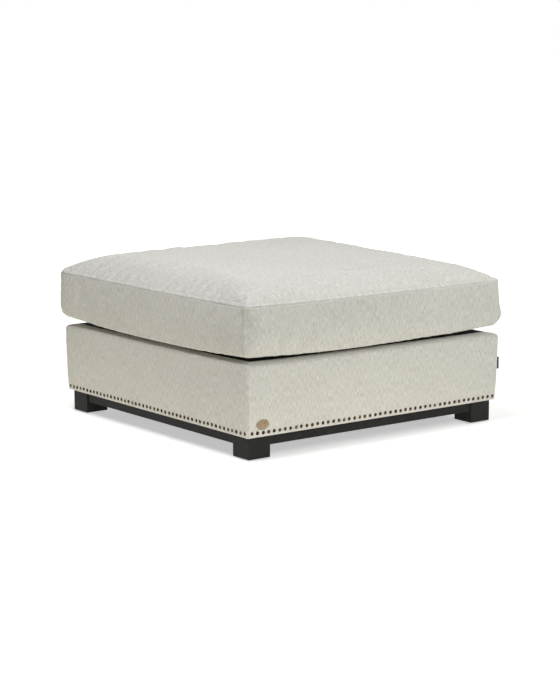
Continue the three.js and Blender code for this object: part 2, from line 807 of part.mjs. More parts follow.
// The height of the cushion's top surface on a ring.
function crownHeight(scale, rim) {
  const share = scale ? alongShare(rim, seamHalfX, seamHalfY) : 0;
  const [near, far] = rimDistances(scale, rim, seamHalfX, seamHalfY);
  const edge = crownEdgeRise * easing(near, crownEdgeReach) * easing(far, crownEdgeReach);
  const middle = crownMiddleRise * (1 - scale ** 2) * (1 - (scale * share) ** 2);
  return seamHeight - seamDip * (1 - share ** 2) * scale ** 4 + edge + middle;
}

// The height of its underside, which is level where it rests on the deck.
function bellyHeight(scale, rim) {
  const share = scale ? alongShare(rim, seamHalfX, seamHalfY) : 0;
  const [near, far] = rimDistances(scale, rim, seamHalfX, seamHalfY);
  const drop = bellyEdgeDrop * easing(near, bellyEdgeReach);
  const rest = lowSeamHeight - bellyEdgeDrop - cushionLowest;
  const level = rest * smooth(near, bellyReach) * smooth(far, bellyReach);
  const lift = cornerLift * share ** 4 * scale ** 4;
  return Math.max(lowSeamHeight + lift - drop - level, cushionLowest);
}

// A boxing strip between two shares of the boxing's height, through the given stations.
function boxingStrip(stations, lowAt, highAt) {
  const outside = [];
  const inside = [];
  for (const station of stations) {
    const rim = stationPoint(station, seamHalfX, seamHalfY, cushionCornerRadius, 0);
    const share = alongShare(rim, seamHalfX, seamHalfY);
    const bottom = lowSeam(share) + fabric + seatGap;
    const top = topSeam(share) - fabric - seatGap;
    const low = lowAt ?? bottom;
    const high = highAt ?? top;
    for (let j = 0; j <= boxingSteps; j++) {
      const height = low + ((high - low) * j) / boxingSteps;
      const out = boxingBulge * Math.sin((Math.PI * (height - bottom)) / (top - bottom));
      const radius = cushionCornerRadius + out;
      outside.push(stationPoint(station, seamHalfX + out, seamHalfY + out, radius, height));
      const back = out - fabric;
      const backRadius = cushionCornerRadius + back;
      inside.push(stationPoint(station, seamHalfX + back, seamHalfY + back, backRadius, height));
    }
  }
  return solidBetween(outside, inside, gridFaces(stations.length, boxingSteps + 1));
}

// A point of the cover's outer surface brought inside the cover, from above or below.
function insideCover(point, towards) {
  const inset = fabric + 2 * seatGap;
  return new THREE.Vector3(
    point.x * (1 - inset / seamHalfX),
    point.y * (1 - inset / seamHalfY),
    point.z + towards * (fabric + seatGap),
  );
}

function addCushionCover(cushion) {
  const put = (name, geometry, material) => {
    const mesh = new THREE.Mesh(geometry, material);
    mesh.name = name;
    cushion.add(mesh);
  };
  const radius = cushionCornerRadius;
  const stations = ringStations(sideShares, ringCornerSteps);
  const top = ringSurface(stations, seamHalfX, seamHalfY, radius, crownRingShares, crownHeight);
  const topInside = offsetPoints(top.points, top.faces, -fabric);
  put("cushion_top_panel", solidBetween(top.points, topInside, top.faces), linen);

  const belly = ringSurface(stations, seamHalfX, seamHalfY, radius, bellyRingShares, bellyHeight);
  const down = flipped(belly.faces);
  const bellyInside = offsetPoints(belly.points, down, -fabric);
  put("cushion_bottom_panel", solidBetween(belly.points, bellyInside, down), linen);

  const stepTurn = 90 / ringCornerSteps;
  const rest = ringCornerSteps - cornerSeamSteps;
  const strip = (sideName, ...steps) => boxingStrip(sideStations(sideName, sideShares, stepTurn, ...steps));
  put("cushion_boxing_front", strip("front", cornerSeamSteps, cornerSeamSteps), linen);
  put("cushion_boxing_right", strip("right", rest, ringCornerSteps, 0, rearWrapRun), linen);
  put("cushion_boxing_left", strip("left", ringCornerSteps, rest, rearWrapRun, 0), linen);
  const rear = rearBoxingStations();
  const halfOpening = zipOpening / 2;
  put("cushion_boxing_rear_lower", boxingStrip(rear, undefined, zipHeight - halfOpening), linen);
  put("cushion_boxing_rear_upper", boxingStrip(rear, zipHeight + halfOpening, undefined), linen);

  // A fibre layer under the top panel, and the foam core below it.
  const topperTop = top.points.map((point) => insideCover(point, -1));
  const coreTop = seamHeight - seamDip - topperDepth;
  put("fibre_topper", slab(topperTop, top.faces, top.ringSize, coreTop + seatGap, true), fibre);
  const coreBelly = belly.points.map((point) => insideCover(point, 1));
  put("foam_core", slab(coreBelly, belly.faces, belly.ringSize, coreTop, false), foam);
}

// The rear boxing's stations: its straight part, as far as the side boxing's runs leave it.
function rearBoxingStations() {
  const reach = rearBoxingHalf / (seamHalfX - cushionCornerRadius);
  const shares = [-reach, ...sideShares.slice(1, -1), reach];
  return shares.map((share) => ({ sideName: "rear", share, turn: 0, run: 0 }));
}

// Two tapes joined at both ends, each with its row of coil beside the slit between them.
function addZip(cushion) {
  const tapeHalf = rearBoxingHalf - zipEndInset;
  const coilHalf = tapeHalf - zipEndMargin;
  const halfSlit = coilSlit / 2;
  const outline = new THREE.Shape();
  outline.moveTo(-tapeHalf, -zipTapeWidth / 2);
  outline.lineTo(tapeHalf, -zipTapeWidth / 2);
  outline.lineTo(tapeHalf, zipTapeWidth / 2);
  outline.lineTo(-tapeHalf, zipTapeWidth / 2);
  const slit = new THREE.Path();
  slit.moveTo(-coilHalf, -halfSlit);
  slit.lineTo(-coilHalf, halfSlit);
  slit.lineTo(coilHalf, halfSlit);
  slit.lineTo(coilHalf, -halfSlit);
  outline.holes.push(slit);
  const tape = extruded(outline, zipTapeThickness).rotateX(90 * degree).translate(0, tapeOuterFace, 0);
  const coilDepth = coilRise + zipTapeThickness / 2;
  const coils = [-1, 1].map((sign) =>
    block(
      2 * coilHalf,
      coilDepth,
      coilWidth,
      0,
      tapeOuterFace + coilRise - coilDepth / 2,
      sign * (halfSlit + coilWidth / 2),
    ),
  );
  const mesh = new THREE.Mesh(joined(tape, ...coils), zipNylon);
  mesh.name = "zip_tape";
  mesh.position.z = zipHeight;
  cushion.add(mesh);
}

// The slider's two plates and the neck between them in the slit, with a bail on top. It rests at the closed
// end.
function addSlider(cushion) {
  const coilHalf = rearBoxingHalf - zipEndInset - zipEndMargin;
  const slider = new THREE.Group();
  slider.position.set(coilHalf - sliderLength / 2 - runGap, 0, zipHeight);
  cushion.add(slider);
  const plateOuter = sliderOuterFace - sliderPlate / 2;
  const plateInner = sliderInnerFace + sliderPlate / 2;
  const barOut = sliderOuterFace + bailHeight;
  const postDepth = bailHeight + bailRadius + sliderPlate / 2;
  const posts = [-1, 1].map((sign) =>
    block(
      bailPost,
      postDepth,
      bailPost,
      0,
      sliderOuterFace + bailHeight + bailRadius - postDepth / 2,
      (sign * (bailSpan + bailPost)) / 2,
    ),
  );
  const barEnd = (bailSpan + bailPost) / 2;
  const body = joined(
    block(sliderLength, sliderPlate, sliderWidth, 0, plateOuter, 0),
    block(sliderLength, sliderPlate, sliderWidth, 0, plateInner, 0),
    block(sliderNeckLength, plateOuter - plateInner, sliderNeckWidth, 0, (plateOuter + plateInner) / 2, 0),
    ...posts,
    upright(bailRadius, -barEnd, barEnd, roundSides).translate(0, barOut, 0),
  );
  const sliderMesh = new THREE.Mesh(body, bronze);
  sliderMesh.name = "zip_slider";
  slider.add(sliderMesh);

  // The pull lies along the zip at rest, with its eye round the bail.
  const eye = cut(
    upright(pullEyeRadius, -pullEyeWidth / 2, pullEyeWidth / 2, roundSides),
    upright(bailRadius + seatGap, -pullEyeWidth, pullEyeWidth, roundSides),
  );
  const grip = pullLength - pullNeckLength;
  const neckStart = (pullEyeRadius + bailRadius + seatGap) / 2;
  const neckLength = pullNeckLength + overlapDepth - neckStart;
  const pull = joined(
    eye,
    block(neckLength, pullThickness, pullEyeWidth, -neckStart - neckLength / 2, 0, 0),
    block(grip, pullThickness, pullWidth, -pullNeckLength - grip / 2, 0, 0),
  );
  const pullMesh = new THREE.Mesh(pull, bronze);
  pullMesh.name = "zip_pull";
  pullMesh.position.set(0, barOut, 0);
  slider.add(pullMesh);
}

addLegs();
addPlinthRails();
addFrame();
addStraps();
addDustCover();
addSidePanels();
addDeck();
addNailRows();
addPlaque();
addCornerLabel();

const cushion = new THREE.Group();
part.add(cushion);
addCushionCover(cushion);
addZip(cushion);
addSlider(cushion);

export default part;
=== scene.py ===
"""A square linen footstool with a loose zipped cushion, round its CAD frame. Metres, +Z up, front -Y."""
import math

import bpy
import numpy as np
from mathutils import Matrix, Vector


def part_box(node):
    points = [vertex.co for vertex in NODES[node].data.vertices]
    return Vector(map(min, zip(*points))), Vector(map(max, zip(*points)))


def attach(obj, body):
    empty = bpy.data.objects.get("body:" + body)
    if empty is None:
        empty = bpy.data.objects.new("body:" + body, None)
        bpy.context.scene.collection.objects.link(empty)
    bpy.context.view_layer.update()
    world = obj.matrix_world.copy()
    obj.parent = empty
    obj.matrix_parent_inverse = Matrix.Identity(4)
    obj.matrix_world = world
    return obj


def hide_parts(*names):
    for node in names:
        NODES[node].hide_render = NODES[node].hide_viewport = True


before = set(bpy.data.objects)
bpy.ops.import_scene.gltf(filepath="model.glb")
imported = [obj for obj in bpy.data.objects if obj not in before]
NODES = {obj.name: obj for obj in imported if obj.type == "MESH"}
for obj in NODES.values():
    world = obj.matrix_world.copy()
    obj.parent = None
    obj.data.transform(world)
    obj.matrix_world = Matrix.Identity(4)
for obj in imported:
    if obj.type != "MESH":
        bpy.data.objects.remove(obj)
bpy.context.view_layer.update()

MM = 0.001
DEGREE = math.pi / 180

# The photograph's camera, from the fit to the corners of the legs and the base
CAMERA_AZIMUTH = -37.587
CAMERA_ELEVATION = 9.676
CAMERA_DISTANCE = 5.98
CAMERA_TARGET = (-0.00048, -0.00576, 0.20152)
FOCAL_PIXELS = 1986.6
LONG_SIDE_PIXELS = 700
SENSOR_MM = 36

X, Y, UP = np.eye(3)
# By name: the way to the right along a side, seen from outside, and the way that the side faces
SIDES = {"front": (X, -Y), "right": (Y, X), "rear": (-X, Y), "left": (-Y, -X)}

# Cushion, as in the frame
SEAM_HALF = 470 * MM
CORNER_RADIUS = 18 * MM
BOXING_BULGE = 5 * MM
TOP_SEAM = 424 * MM  # at the corners
TOP_SEAM_DIP = 5.8 * MM  # how far it hangs lower in the middle of a side
LOW_SEAM = 284 * MM  # in the middle of a side
LOW_SEAM_LIFT = 8 * MM  # towards the corners
LOW_SEAM_SAG = 5 * MM  # in the middle of the front and of the two ends
SAG_RIGHT_SHARE = 0.6  # of that on the right
SAG_CHANGE_START = -100 * MM  # where on the way to the right it starts to lessen
SAG_CHANGE_RUN = 300 * MM
NEAR_CORNER_SAG = 1.7 * MM  # at the front left corner
NEAR_CORNER_REACH = 300 * MM
CROWN_RISE = 49.4 * MM
CROWN_REACH = 128 * MM
CROWN_POWER = 3.1  # how soon within its reach the crown has most of its rise
CROWN_BLEND = 2.7  # how sharply it turns at the diagonals
CROWN_MIDDLE = 11.6 * MM
CROWN_REAR_GAIN = 10.1 * MM  # how much more the edge rises at the rear than at the front
CROWN_LEFT_GAIN = 3.4 * MM
BELLY_DROP = 1.2 * MM
BELLY_REACH = 8 * MM
BELLY_RUN = 250 * MM
TUCK = 6 * MM  # how far the boxing turns in towards the bottom seam
TUCK_SHARE = 0.3  # of its height
# How much fuller or flatter the crown is at a corner, given by its (x, y) signs
FULLNESS = {(1, -1): -8.2 * MM, (1, 1): 3.7 * MM, (-1, 1): -8.3 * MM}
FULLNESS_REACH = 280 * MM
REAR_LEFT_FILL = 6 * MM  # how much fuller the crown's edge is at that corner
FILL_REACH = 60 * MM
FILL_START = 8 * MM  # how soon it sets in from the seam
# How far a corner stands out at its bottom and at its top seam, and how far its lower edge is rounded in
EARS = {(-1, 1): (7.4 * MM, 7.2 * MM, 5 * MM), (1, -1): (4.6 * MM, -2.4 * MM, 8 * MM)}
EAR_REACH = 90 * MM
ZIP_EAR_REACH = 30 * MM  # at the rear, where the zip starts close to the corner
ZIP_LEVEL = 351 * MM
ZIP_LEVEL_RUN = 30 * MM  # from the corners to where the rows run level
DECK_LEVEL = 275 * MM
DECK_EDGE = 260 * MM
CUSHION_LOWEST = DECK_LEVEL + 0.3 * MM

# The cushion's cloth simulation
SIM_CELLS = 96
SIM_ROWS = 14
SIM_FRAMES = 20
SIM_START = 8 * MM  # how far the starting shape lies inside the wanted one, away from the seams
SIM_CAP = 9 * MM  # how far a point may end up from its start
SIM_START_REACH = 22 * MM
SIM_START_BOXING = 0.75  # the boxing's share of that
SIM_TRIM_ROUNDS = 50  # of averaging its distance from the wanted shape. The broad part is taken back
RESTING_DEPTH = 4 * MM  # over the deck, up to which the bottom is held
ZIP_END_CELLS = 4  # left free between the held zip and the corners
CLOTH = {
    "quality": 5,
    "mass": 0.3,
    "tension_stiffness": 30,
    "compression_stiffness": 30,
    "shear_stiffness": 10,
    "bending_stiffness": 2,
    "shrink_min": -0.012,
    "use_pressure": True,
    "uniform_pressure_force": 4,
}

# Base, as in the frame
BASE_HALF = 460 * MM
BASE_RADIUS = 5 * MM
BASE_SWELL = 5 * MM
HEM_HEIGHT = 66 * MM
HEM_REACH = 11.7 * MM
HEM_ROUND = 2 * MM
SHOULDER_START = 255.5 * MM
TOP_ROUND = 9 * MM
TOP_ARC = 72  # degrees, from the wall to where the border starts
DECK_BORDER = 26 * MM
BORDER_RISE = 10 * MM  # how much the border climbs on its way in
CORNER_LIFT = 3.2 * MM  # the border stands higher at the near corner
CORNER_LIFT_REACH = 110 * MM
CORNER_LIFT_START = 215 * MM

# Nails
NAILS_PER_SIDE = 48
NAIL_PITCH = 19 * MM
NAIL_RADIUS = 5.3 * MM
NAIL_HEIGHT = HEM_HEIGHT + 12 * MM


def waves(points, seed, length, count=24):
    """Smooth noise of about unit size at each point, with bumps of about the given length."""
    rng = np.random.default_rng(seed)
    points = np.asarray(points, float)
    total = np.zeros(points.shape[:-1])
    for _ in range(count):
        direction = rng.normal(size=points.shape[-1])
        direction /= np.linalg.norm(direction)
        step = 2 * np.pi / (length * rng.uniform(1.2, 2.6))
        total += np.cos(points @ direction * step + rng.uniform(0, 2 * np.pi))
    return total / math.sqrt(count / 2)


def bell(distance, width):
    return np.exp(-((np.asarray(distance) / width) ** 2))


def ridge(distance, out, place, width):
    """A rounded ridge at a place beside a line, or a groove where out is below 0."""
    return out * bell(distance - place, width)


def climb(distance, reach):
    """0 up to a line, and from there on ever closer to 1."""
    return 1 - np.exp(-np.maximum(distance, 0) / reach)


def smooth(distance, reach):
    """0 up to a line and 1 from the reach on."""
    t = np.clip(distance / reach, 0, 1)
    return t * t * (3 - 2 * t)


# Meshes


def way_along(points):
    """How far along a line each of its points is."""
    return np.concatenate([[0], np.cumsum(np.linalg.norm(np.diff(points, axis=0), axis=1))])


def new_piece(name, points, faces, material, uvs=None):
    """A mesh object. uvs holds one (u, v) in metres for each corner of each face, in order."""
    mesh = bpy.data.meshes.new(name)
    mesh.from_pydata(np.asarray(points, float).tolist(), [], [list(map(int, f)) for f in faces])
    if uvs is not None:
        layer = mesh.uv_layers.new(name="Cloth")
        layer.uv.foreach_set("vector", np.asarray(uvs, np.float32).ravel())
    mesh.polygons.foreach_set("use_smooth", [True] * len(mesh.polygons))
    mesh.materials.append(material)
    mesh.update()
    piece = bpy.data.objects.new(name, mesh)
    bpy.context.scene.collection.objects.link(piece)
    return piece


def grid_faces(index, flip=False):
    """Quads between the points of a 2-D table of point numbers."""
    a, b, c, d = index[:-1, :-1], index[1:, :-1], index[1:, 1:], index[:-1, 1:]
    quads = np.stack([a, b, c, d], -1).reshape(-1, 4)
    return quads[:, ::-1] if flip else quads


def grid_uvs(uv, flip=False):
    """The corner uvs that go with grid_faces, from a table of (u, v)."""
    corners = [uv[:-1, :-1], uv[1:, :-1], uv[1:, 1:], uv[:-1, 1:]]
    loops = np.stack(corners, -2).reshape(-1, 4, 2)
    return loops[:, ::-1] if flip else loops


def point_normals(points, quads):
    """Unit normals at points, from the quads round them."""
    a, b, c, d = (points[quads[:, i]] for i in range(4))
    face_normals = np.cross(c - a, d - b)
    normals = np.zeros_like(points)
    for i in range(4):
        np.add.at(normals, quads[:, i], face_normals)
    return normals / np.maximum(np.linalg.norm(normals, axis=1, keepdims=True), 1e-12)


def catmull_rom(table, places, wrap=False):
    """Values of a table along its first axis at fractional places, on a smooth curve through its entries."""
    count = len(table)
    low = np.floor(places).astype(int)
    if not wrap:
        low = np.clip(low, 0, count - 2)
    t = (places - low).reshape(-1, *([1] * (table.ndim - 1)))
    if wrap:
        p = [table[(low + k) % count] for k in (-1, 0, 1, 2)]
    else:
        ends = np.concatenate([[2 * table[0] - table[1]], table, [2 * table[-1] - table[-2]]])
        p = [ends[low + 1 + k] for k in (-1, 0, 1, 2)]
    return 0.5 * (
        2 * p[1]
        + (p[2] - p[0]) * t
        + (2 * p[0] - 5 * p[1] + 4 * p[2] - p[3]) * t**2
        + (3 * p[1] - p[0] - 3 * p[2] + p[3]) * t**3
    )


# Cushion


def near_corner(x, y, corner, reach):
    return bell(np.hypot(x - corner[0] * SEAM_HALF, y - corner[1] * SEAM_HALF), reach)


def plan_point(x, y, out=0.0, height_share=1.0):
    """A point of the cushion's square plan, moved so that the square's corners become arcs, two of which
    stand out or fall back a little."""
    core = SEAM_HALF - CORNER_RADIUS
    radius = CORNER_RADIUS + out
    a = np.clip((np.abs(x) - core) / CORNER_RADIUS, 0, 1)
    b = np.clip((np.abs(y) - core) / CORNER_RADIUS, 0, 1)
    px = np.minimum(np.abs(x), core) + radius * a * np.sqrt(1 - b * b / 2)
    py = np.minimum(np.abs(y), core) + radius * b * np.sqrt(1 - a * a / 2)
    px, py = np.sign(x) * px, np.sign(y) * py
    for corner, (low, high, rounding) in EARS.items():
        ear = low + (high - low) * height_share - rounding * max(0, 1 - height_share / TUCK_SHARE) ** 2
        reach = ZIP_EAR_REACH if corner[1] > 0 else EAR_REACH
        px = px + corner[0] * ear * near_corner(x, y, corner, EAR_REACH)
        py = py + corner[1] * ear * near_corner(x, y, corner, reach)
    return px, py


def crown_height(x, y):
    dx = SEAM_HALF - np.abs(x)
    dy = SEAM_HALF - np.abs(y)
    u = np.abs(x) / SEAM_HALF
    v = np.abs(y) / SEAM_HALF
    share = np.minimum(u, v)
    rim = np.maximum(u, v)
    seam = TOP_SEAM - TOP_SEAM_DIP * (1 - share**2) * rim**4
    rise = CROWN_RISE + CROWN_REAR_GAIN * (1 + y / SEAM_HALF) / 2
    rise = rise + CROWN_LEFT_GAIN * (1 - x / SEAM_HALF) / 2
    for corner, gain in FULLNESS.items():
        rise = rise + gain * near_corner(x, y, corner, FULLNESS_REACH)
    least = 1e-6
    near = np.maximum(dx, least) ** -CROWN_BLEND + np.maximum(dy, least) ** -CROWN_BLEND
    share_in = np.minimum(near ** (-1 / CROWN_BLEND) / CROWN_REACH, 1)
    edge = rise * (1 - (1 - share_in) ** CROWN_POWER)
    fill = REAR_LEFT_FILL * near_corner(x, y, (-1, 1), FILL_REACH) * climb(np.minimum(dx, dy), FILL_START)
    middle = CROWN_MIDDLE * (1 - u**2) * (1 - v**2)
    return seam + edge + fill + middle


def belly_height(x, y):
    dx = SEAM_HALF - np.abs(x)
    dy = SEAM_HALF - np.abs(y)
    near = np.minimum(dx, dy)
    far = np.maximum(dx, dy)
    share = np.minimum(np.abs(x), np.abs(y)) / SEAM_HALF
    rim = np.maximum(np.abs(x), np.abs(y)) / SEAM_HALF
    drop = BELLY_DROP * climb(near, BELLY_REACH)
    rest = LOW_SEAM - BELLY_DROP - CUSHION_LOWEST
    level = rest * smooth(near, BELLY_RUN) * smooth(far, BELLY_RUN)
    lift = LOW_SEAM_LIFT * share**4 * rim**4
    before_rear = np.clip((SEAM_HALF - y) / (SEAM_HALF / 2), 0, 1)
    to_right = 1 - (1 - SAG_RIGHT_SHARE) * smooth(x - SAG_CHANGE_START, SAG_CHANGE_RUN)
    sag = LOW_SEAM_SAG * (1 - share**2) * before_rear * to_right
    sag = (sag + NEAR_CORNER_SAG * near_corner(x, y, (-1, -1), NEAR_CORNER_REACH)) * rim**4
    return np.maximum(LOW_SEAM + lift - sag - drop - level, CUSHION_LOWEST)


def rim_walk(cells):
    """Grid places (i, j) round the rim of a square grid, anticlockwise seen from above, each once."""
    steps = np.arange(cells)
    i = np.concatenate([steps, np.full(cells, cells), cells - steps, np.zeros(cells, int)])
    j = np.concatenate([np.zeros(cells, int), steps, np.full(cells, cells), cells - steps])
    return i, j


def cover_index(cells, rows):
    """Point numbers of the cover's top and bottom grids and of its boxing, whose first and last rows are the
    two grids' rims. Boxing columns run round the rim, and its rows climb."""
    top = np.arange((cells + 1) ** 2).reshape(cells + 1, cells + 1)
    bottom = top + top.size
    i, j = rim_walk(cells)
    inner = 2 * top.size + np.arange(4 * cells * (rows - 1)).reshape(4 * cells, rows - 1)
    boxing = np.concatenate([bottom[i, j][:, None], inner, top[i, j][:, None]], 1)
    return top, bottom, boxing


def cover_quads(top, bottom, boxing):
    closed = np.concatenate([boxing, boxing[:1]])
    return np.concatenate([grid_faces(top), grid_faces(bottom, flip=True), grid_faces(closed)])


def cushion_shape(cells, rows):
    """The wanted shape of the cover as the grids' points, one after another."""
    line = np.linspace(-SEAM_HALF, SEAM_HALF, cells + 1)
    x, y = np.meshgrid(line, line, indexing="ij")
    px, py = plan_point(x, y)
    top = np.stack([px, py, crown_height(x, y)], -1)
    tucked = 1 - TUCK / SEAM_HALF
    px, py = plan_point(x, y, height_share=0)
    bottom = np.stack([px * tucked, py * tucked, belly_height(x, y)], -1)
    i, j = rim_walk(cells)
    low = bottom[i, j, 2]
    high = top[i, j, 2]
    at_zip = (y[i, j] > SEAM_HALF - MM) * smooth(SEAM_HALF - np.abs(x[i, j]), ZIP_LEVEL_RUN)
    bend = (ZIP_LEVEL - (low + high) / 2) * at_zip
    inner = []
    for row in range(1, rows):
        t = row / rows
        out = BOXING_BULGE * math.sin(math.pi * t**0.7) - TUCK * max(0, 1 - t / TUCK_SHARE) ** 2
        bx, by = plan_point(x[i, j], y[i, j], out, t)
        inner.append(np.stack([bx, by, low + (high - low) * t + bend * 4 * t * (1 - t)], -1))
    boxing = np.stack(inner, 1)
    return np.concatenate([top.reshape(-1, 3), bottom.reshape(-1, 3), boxing.reshape(-1, 3)])


def spread_out(values, quads, rounds):
    """Values at points, averaged with their neighbours' a number of times."""
    pairs = np.concatenate([quads[:, [0, 1]], quads[:, [1, 2]], quads[:, [2, 3]], quads[:, [3, 0]]])
    number = len(values)
    counts = np.bincount(pairs.ravel(), minlength=number)
    for _ in range(rounds):
        total = np.zeros_like(values)
        for k in range(values.shape[1]):
            total[:, k] = np.bincount(pairs[:, 0], values[pairs[:, 1], k], number)
            total[:, k] += np.bincount(pairs[:, 1], values[pairs[:, 0], k], number)
        values = (values + total / counts[:, None]) / 2
    return values


def settled(points, quads, pinned):
    """The cover after a short cloth simulation: it swells under pressure with a little spare cloth, and its
    seams and the part that rests on the deck are held."""
    mesh = bpy.data.meshes.new("cover_sim")
    mesh.from_pydata(points.tolist(), [], quads.tolist())
    cover = bpy.data.objects.new("cover_sim", mesh)
    bpy.context.scene.collection.objects.link(cover)
    cover.vertex_groups.new(name="pinned").add(pinned.tolist(), 1.0, "REPLACE")
    cloth = cover.modifiers.new("Cloth", "CLOTH")
    settings = cloth.settings
    for key, value in CLOTH.items():
        setattr(settings, key, value)
    settings.vertex_group_mass = "pinned"
    settings.effector_weights.gravity = 0
    cloth.point_cache.frame_start = 1
    cloth.point_cache.frame_end = SIM_FRAMES
    scene = bpy.context.scene
    for number in range(1, SIM_FRAMES + 1):
        scene.frame_set(number)
    evaluated = cover.evaluated_get(bpy.context.evaluated_depsgraph_get())
    moved = np.zeros(len(points) * 3)
    evaluated.data.vertices.foreach_get("co", moved)
    scene.frame_set(1)
    bpy.data.objects.remove(cover)
    bpy.data.meshes.remove(mesh)
    step = moved.reshape(-1, 3) - points
    length = np.linalg.norm(step, axis=1, keepdims=True)
    return points + step * np.minimum(1, SIM_CAP / np.maximum(length, 1e-12))


# Offsets from the cushion's edges at which its fine grid has lines: close beside the seam at 0, the
# topstitching and the boxing's upright seams, and further apart beyond them
STITCH_INSET = 10 * MM
FRONT_SEAM_OFFSET = 17.5 * MM
REAR_SEAM_OFFSET = 42.3 * MM
EDGE_LINES = MM * np.array(
    [0, 0.7, 1.4, 2.2, 3.4, 5, 7, 9, 10, 11, 13, 15.5]
    + [16.8, 17.5, 18.2, 19.5, 23, 29, 36, 41.3, 42.3, 43.3, 48]
)
LINE_STEP = 6.5 * MM
BOXING_HEIGHT = 134 * MM
BOXING_EDGE_ROWS = MM * np.array([0, 0.7, 1.4, 2.2, 3.4, 5, 7.5, 11, 15])
BOXING_ROW_STEP = 6.5 * MM
ZIP_ROWS = MM * np.array([5.0, 5.4, 6.2, 8, 11])  # from the zip's middle
ZIP_HALF_OPENING = 5.2 * MM
ZIP_RECESS = 3.6 * MM
ZIP_END_GAP = 3 * MM  # between the opening and the upright seams
TAPE_COVER_Y = 475.4 * MM  # the boxing lies at least this far out where the tape is behind it
TAPE_COVER_HALF = 16 * MM
TAPE_COVER_FADE = 14 * MM
TAPE_END_FADE = 8 * MM


def spread_lines(total, near, step):
    """Places along a length: the near offsets from each end, and evenly spread places between them."""
    count = int(round((total - 2 * near[-1]) / step))
    between = np.linspace(near[-1], total - near[-1], count + 1)[1:-1]
    return np.concatenate([near, between, total - near[::-1]])


def boxing_rows():
    half = BOXING_HEIGHT / 2
    low = spread_lines(half - ZIP_ROWS[-1] + BOXING_EDGE_ROWS[-1], BOXING_EDGE_ROWS, BOXING_ROW_STEP)
    low = low[low < half - ZIP_ROWS[-1] - 2 * MM]
    lower = np.concatenate([low, half - ZIP_ROWS[::-1]])
    return np.concatenate([lower, [half], BOXING_HEIGHT - lower[::-1]])


def fine_cover(coarse):
    """The simulated cover on a finer grid, with its seams, its topstitching and the recess for the zip."""
    cells, rows = SIM_CELLS, SIM_ROWS
    size = (cells + 1) ** 2
    top = coarse[:size].reshape(cells + 1, cells + 1, 3)
    bottom = coarse[size : 2 * size].reshape(cells + 1, cells + 1, 3)
    _, _, boxing_index = cover_index(cells, rows)
    boxing = coarse[boxing_index]

    side = 2 * SEAM_HALF
    lines = spread_lines(side, EDGE_LINES, LINE_STEP)
    places = lines / side * cells
    row_lines = boxing_rows()
    row_places = row_lines / BOXING_HEIGHT * rows
    fine = [catmull_rom(catmull_rom(t, places).swapaxes(0, 1), places).swapaxes(0, 1) for t in (top, bottom)]
    count = len(lines) - 1
    walk_lines = np.concatenate([lines[:-1] + k * side for k in range(4)])
    columns = catmull_rom(boxing, walk_lines / side * cells, wrap=True)
    band = catmull_rom(columns.swapaxes(0, 1), row_places).swapaxes(0, 1)
    points = np.concatenate([fine[0].reshape(-1, 3), fine[1].reshape(-1, 3), band[:, 1:-1].reshape(-1, 3)])
    index = cover_index(count, len(row_lines) - 1)
    return points, index, lines, walk_lines, row_lines


# Relief in the cover, as (how far out, how far from the line that it follows, how wide)
SEAM_PULL = (-5.0 * MM, 0, 1.4 * MM)
SEAM_SWELL = (0.3 * MM, 4.5 * MM, 2.4 * MM)
STITCH_GROOVE = (-0.6 * MM, STITCH_INSET, 1.1 * MM)
PUCKERS = (0.25 * MM, 6 * MM, 7 * MM)
PUCKER_PITCH = 23 * MM
PUCKER_WANDER = 1.3  # in radians
PUCKER_END = 60 * MM
BOXING_PULL = (-2.8 * MM, 0, 1.1 * MM)
UPRIGHT_PULL = (-3.0 * MM, 0, 2.4 * MM)
UPRIGHT_SWELL = (0.4 * MM, 6 * MM, 2.5 * MM)
UPRIGHT_END = 3 * MM
UNEVEN_TOP = 0.6 * MM
UNEVEN_BOXING = 0.45 * MM


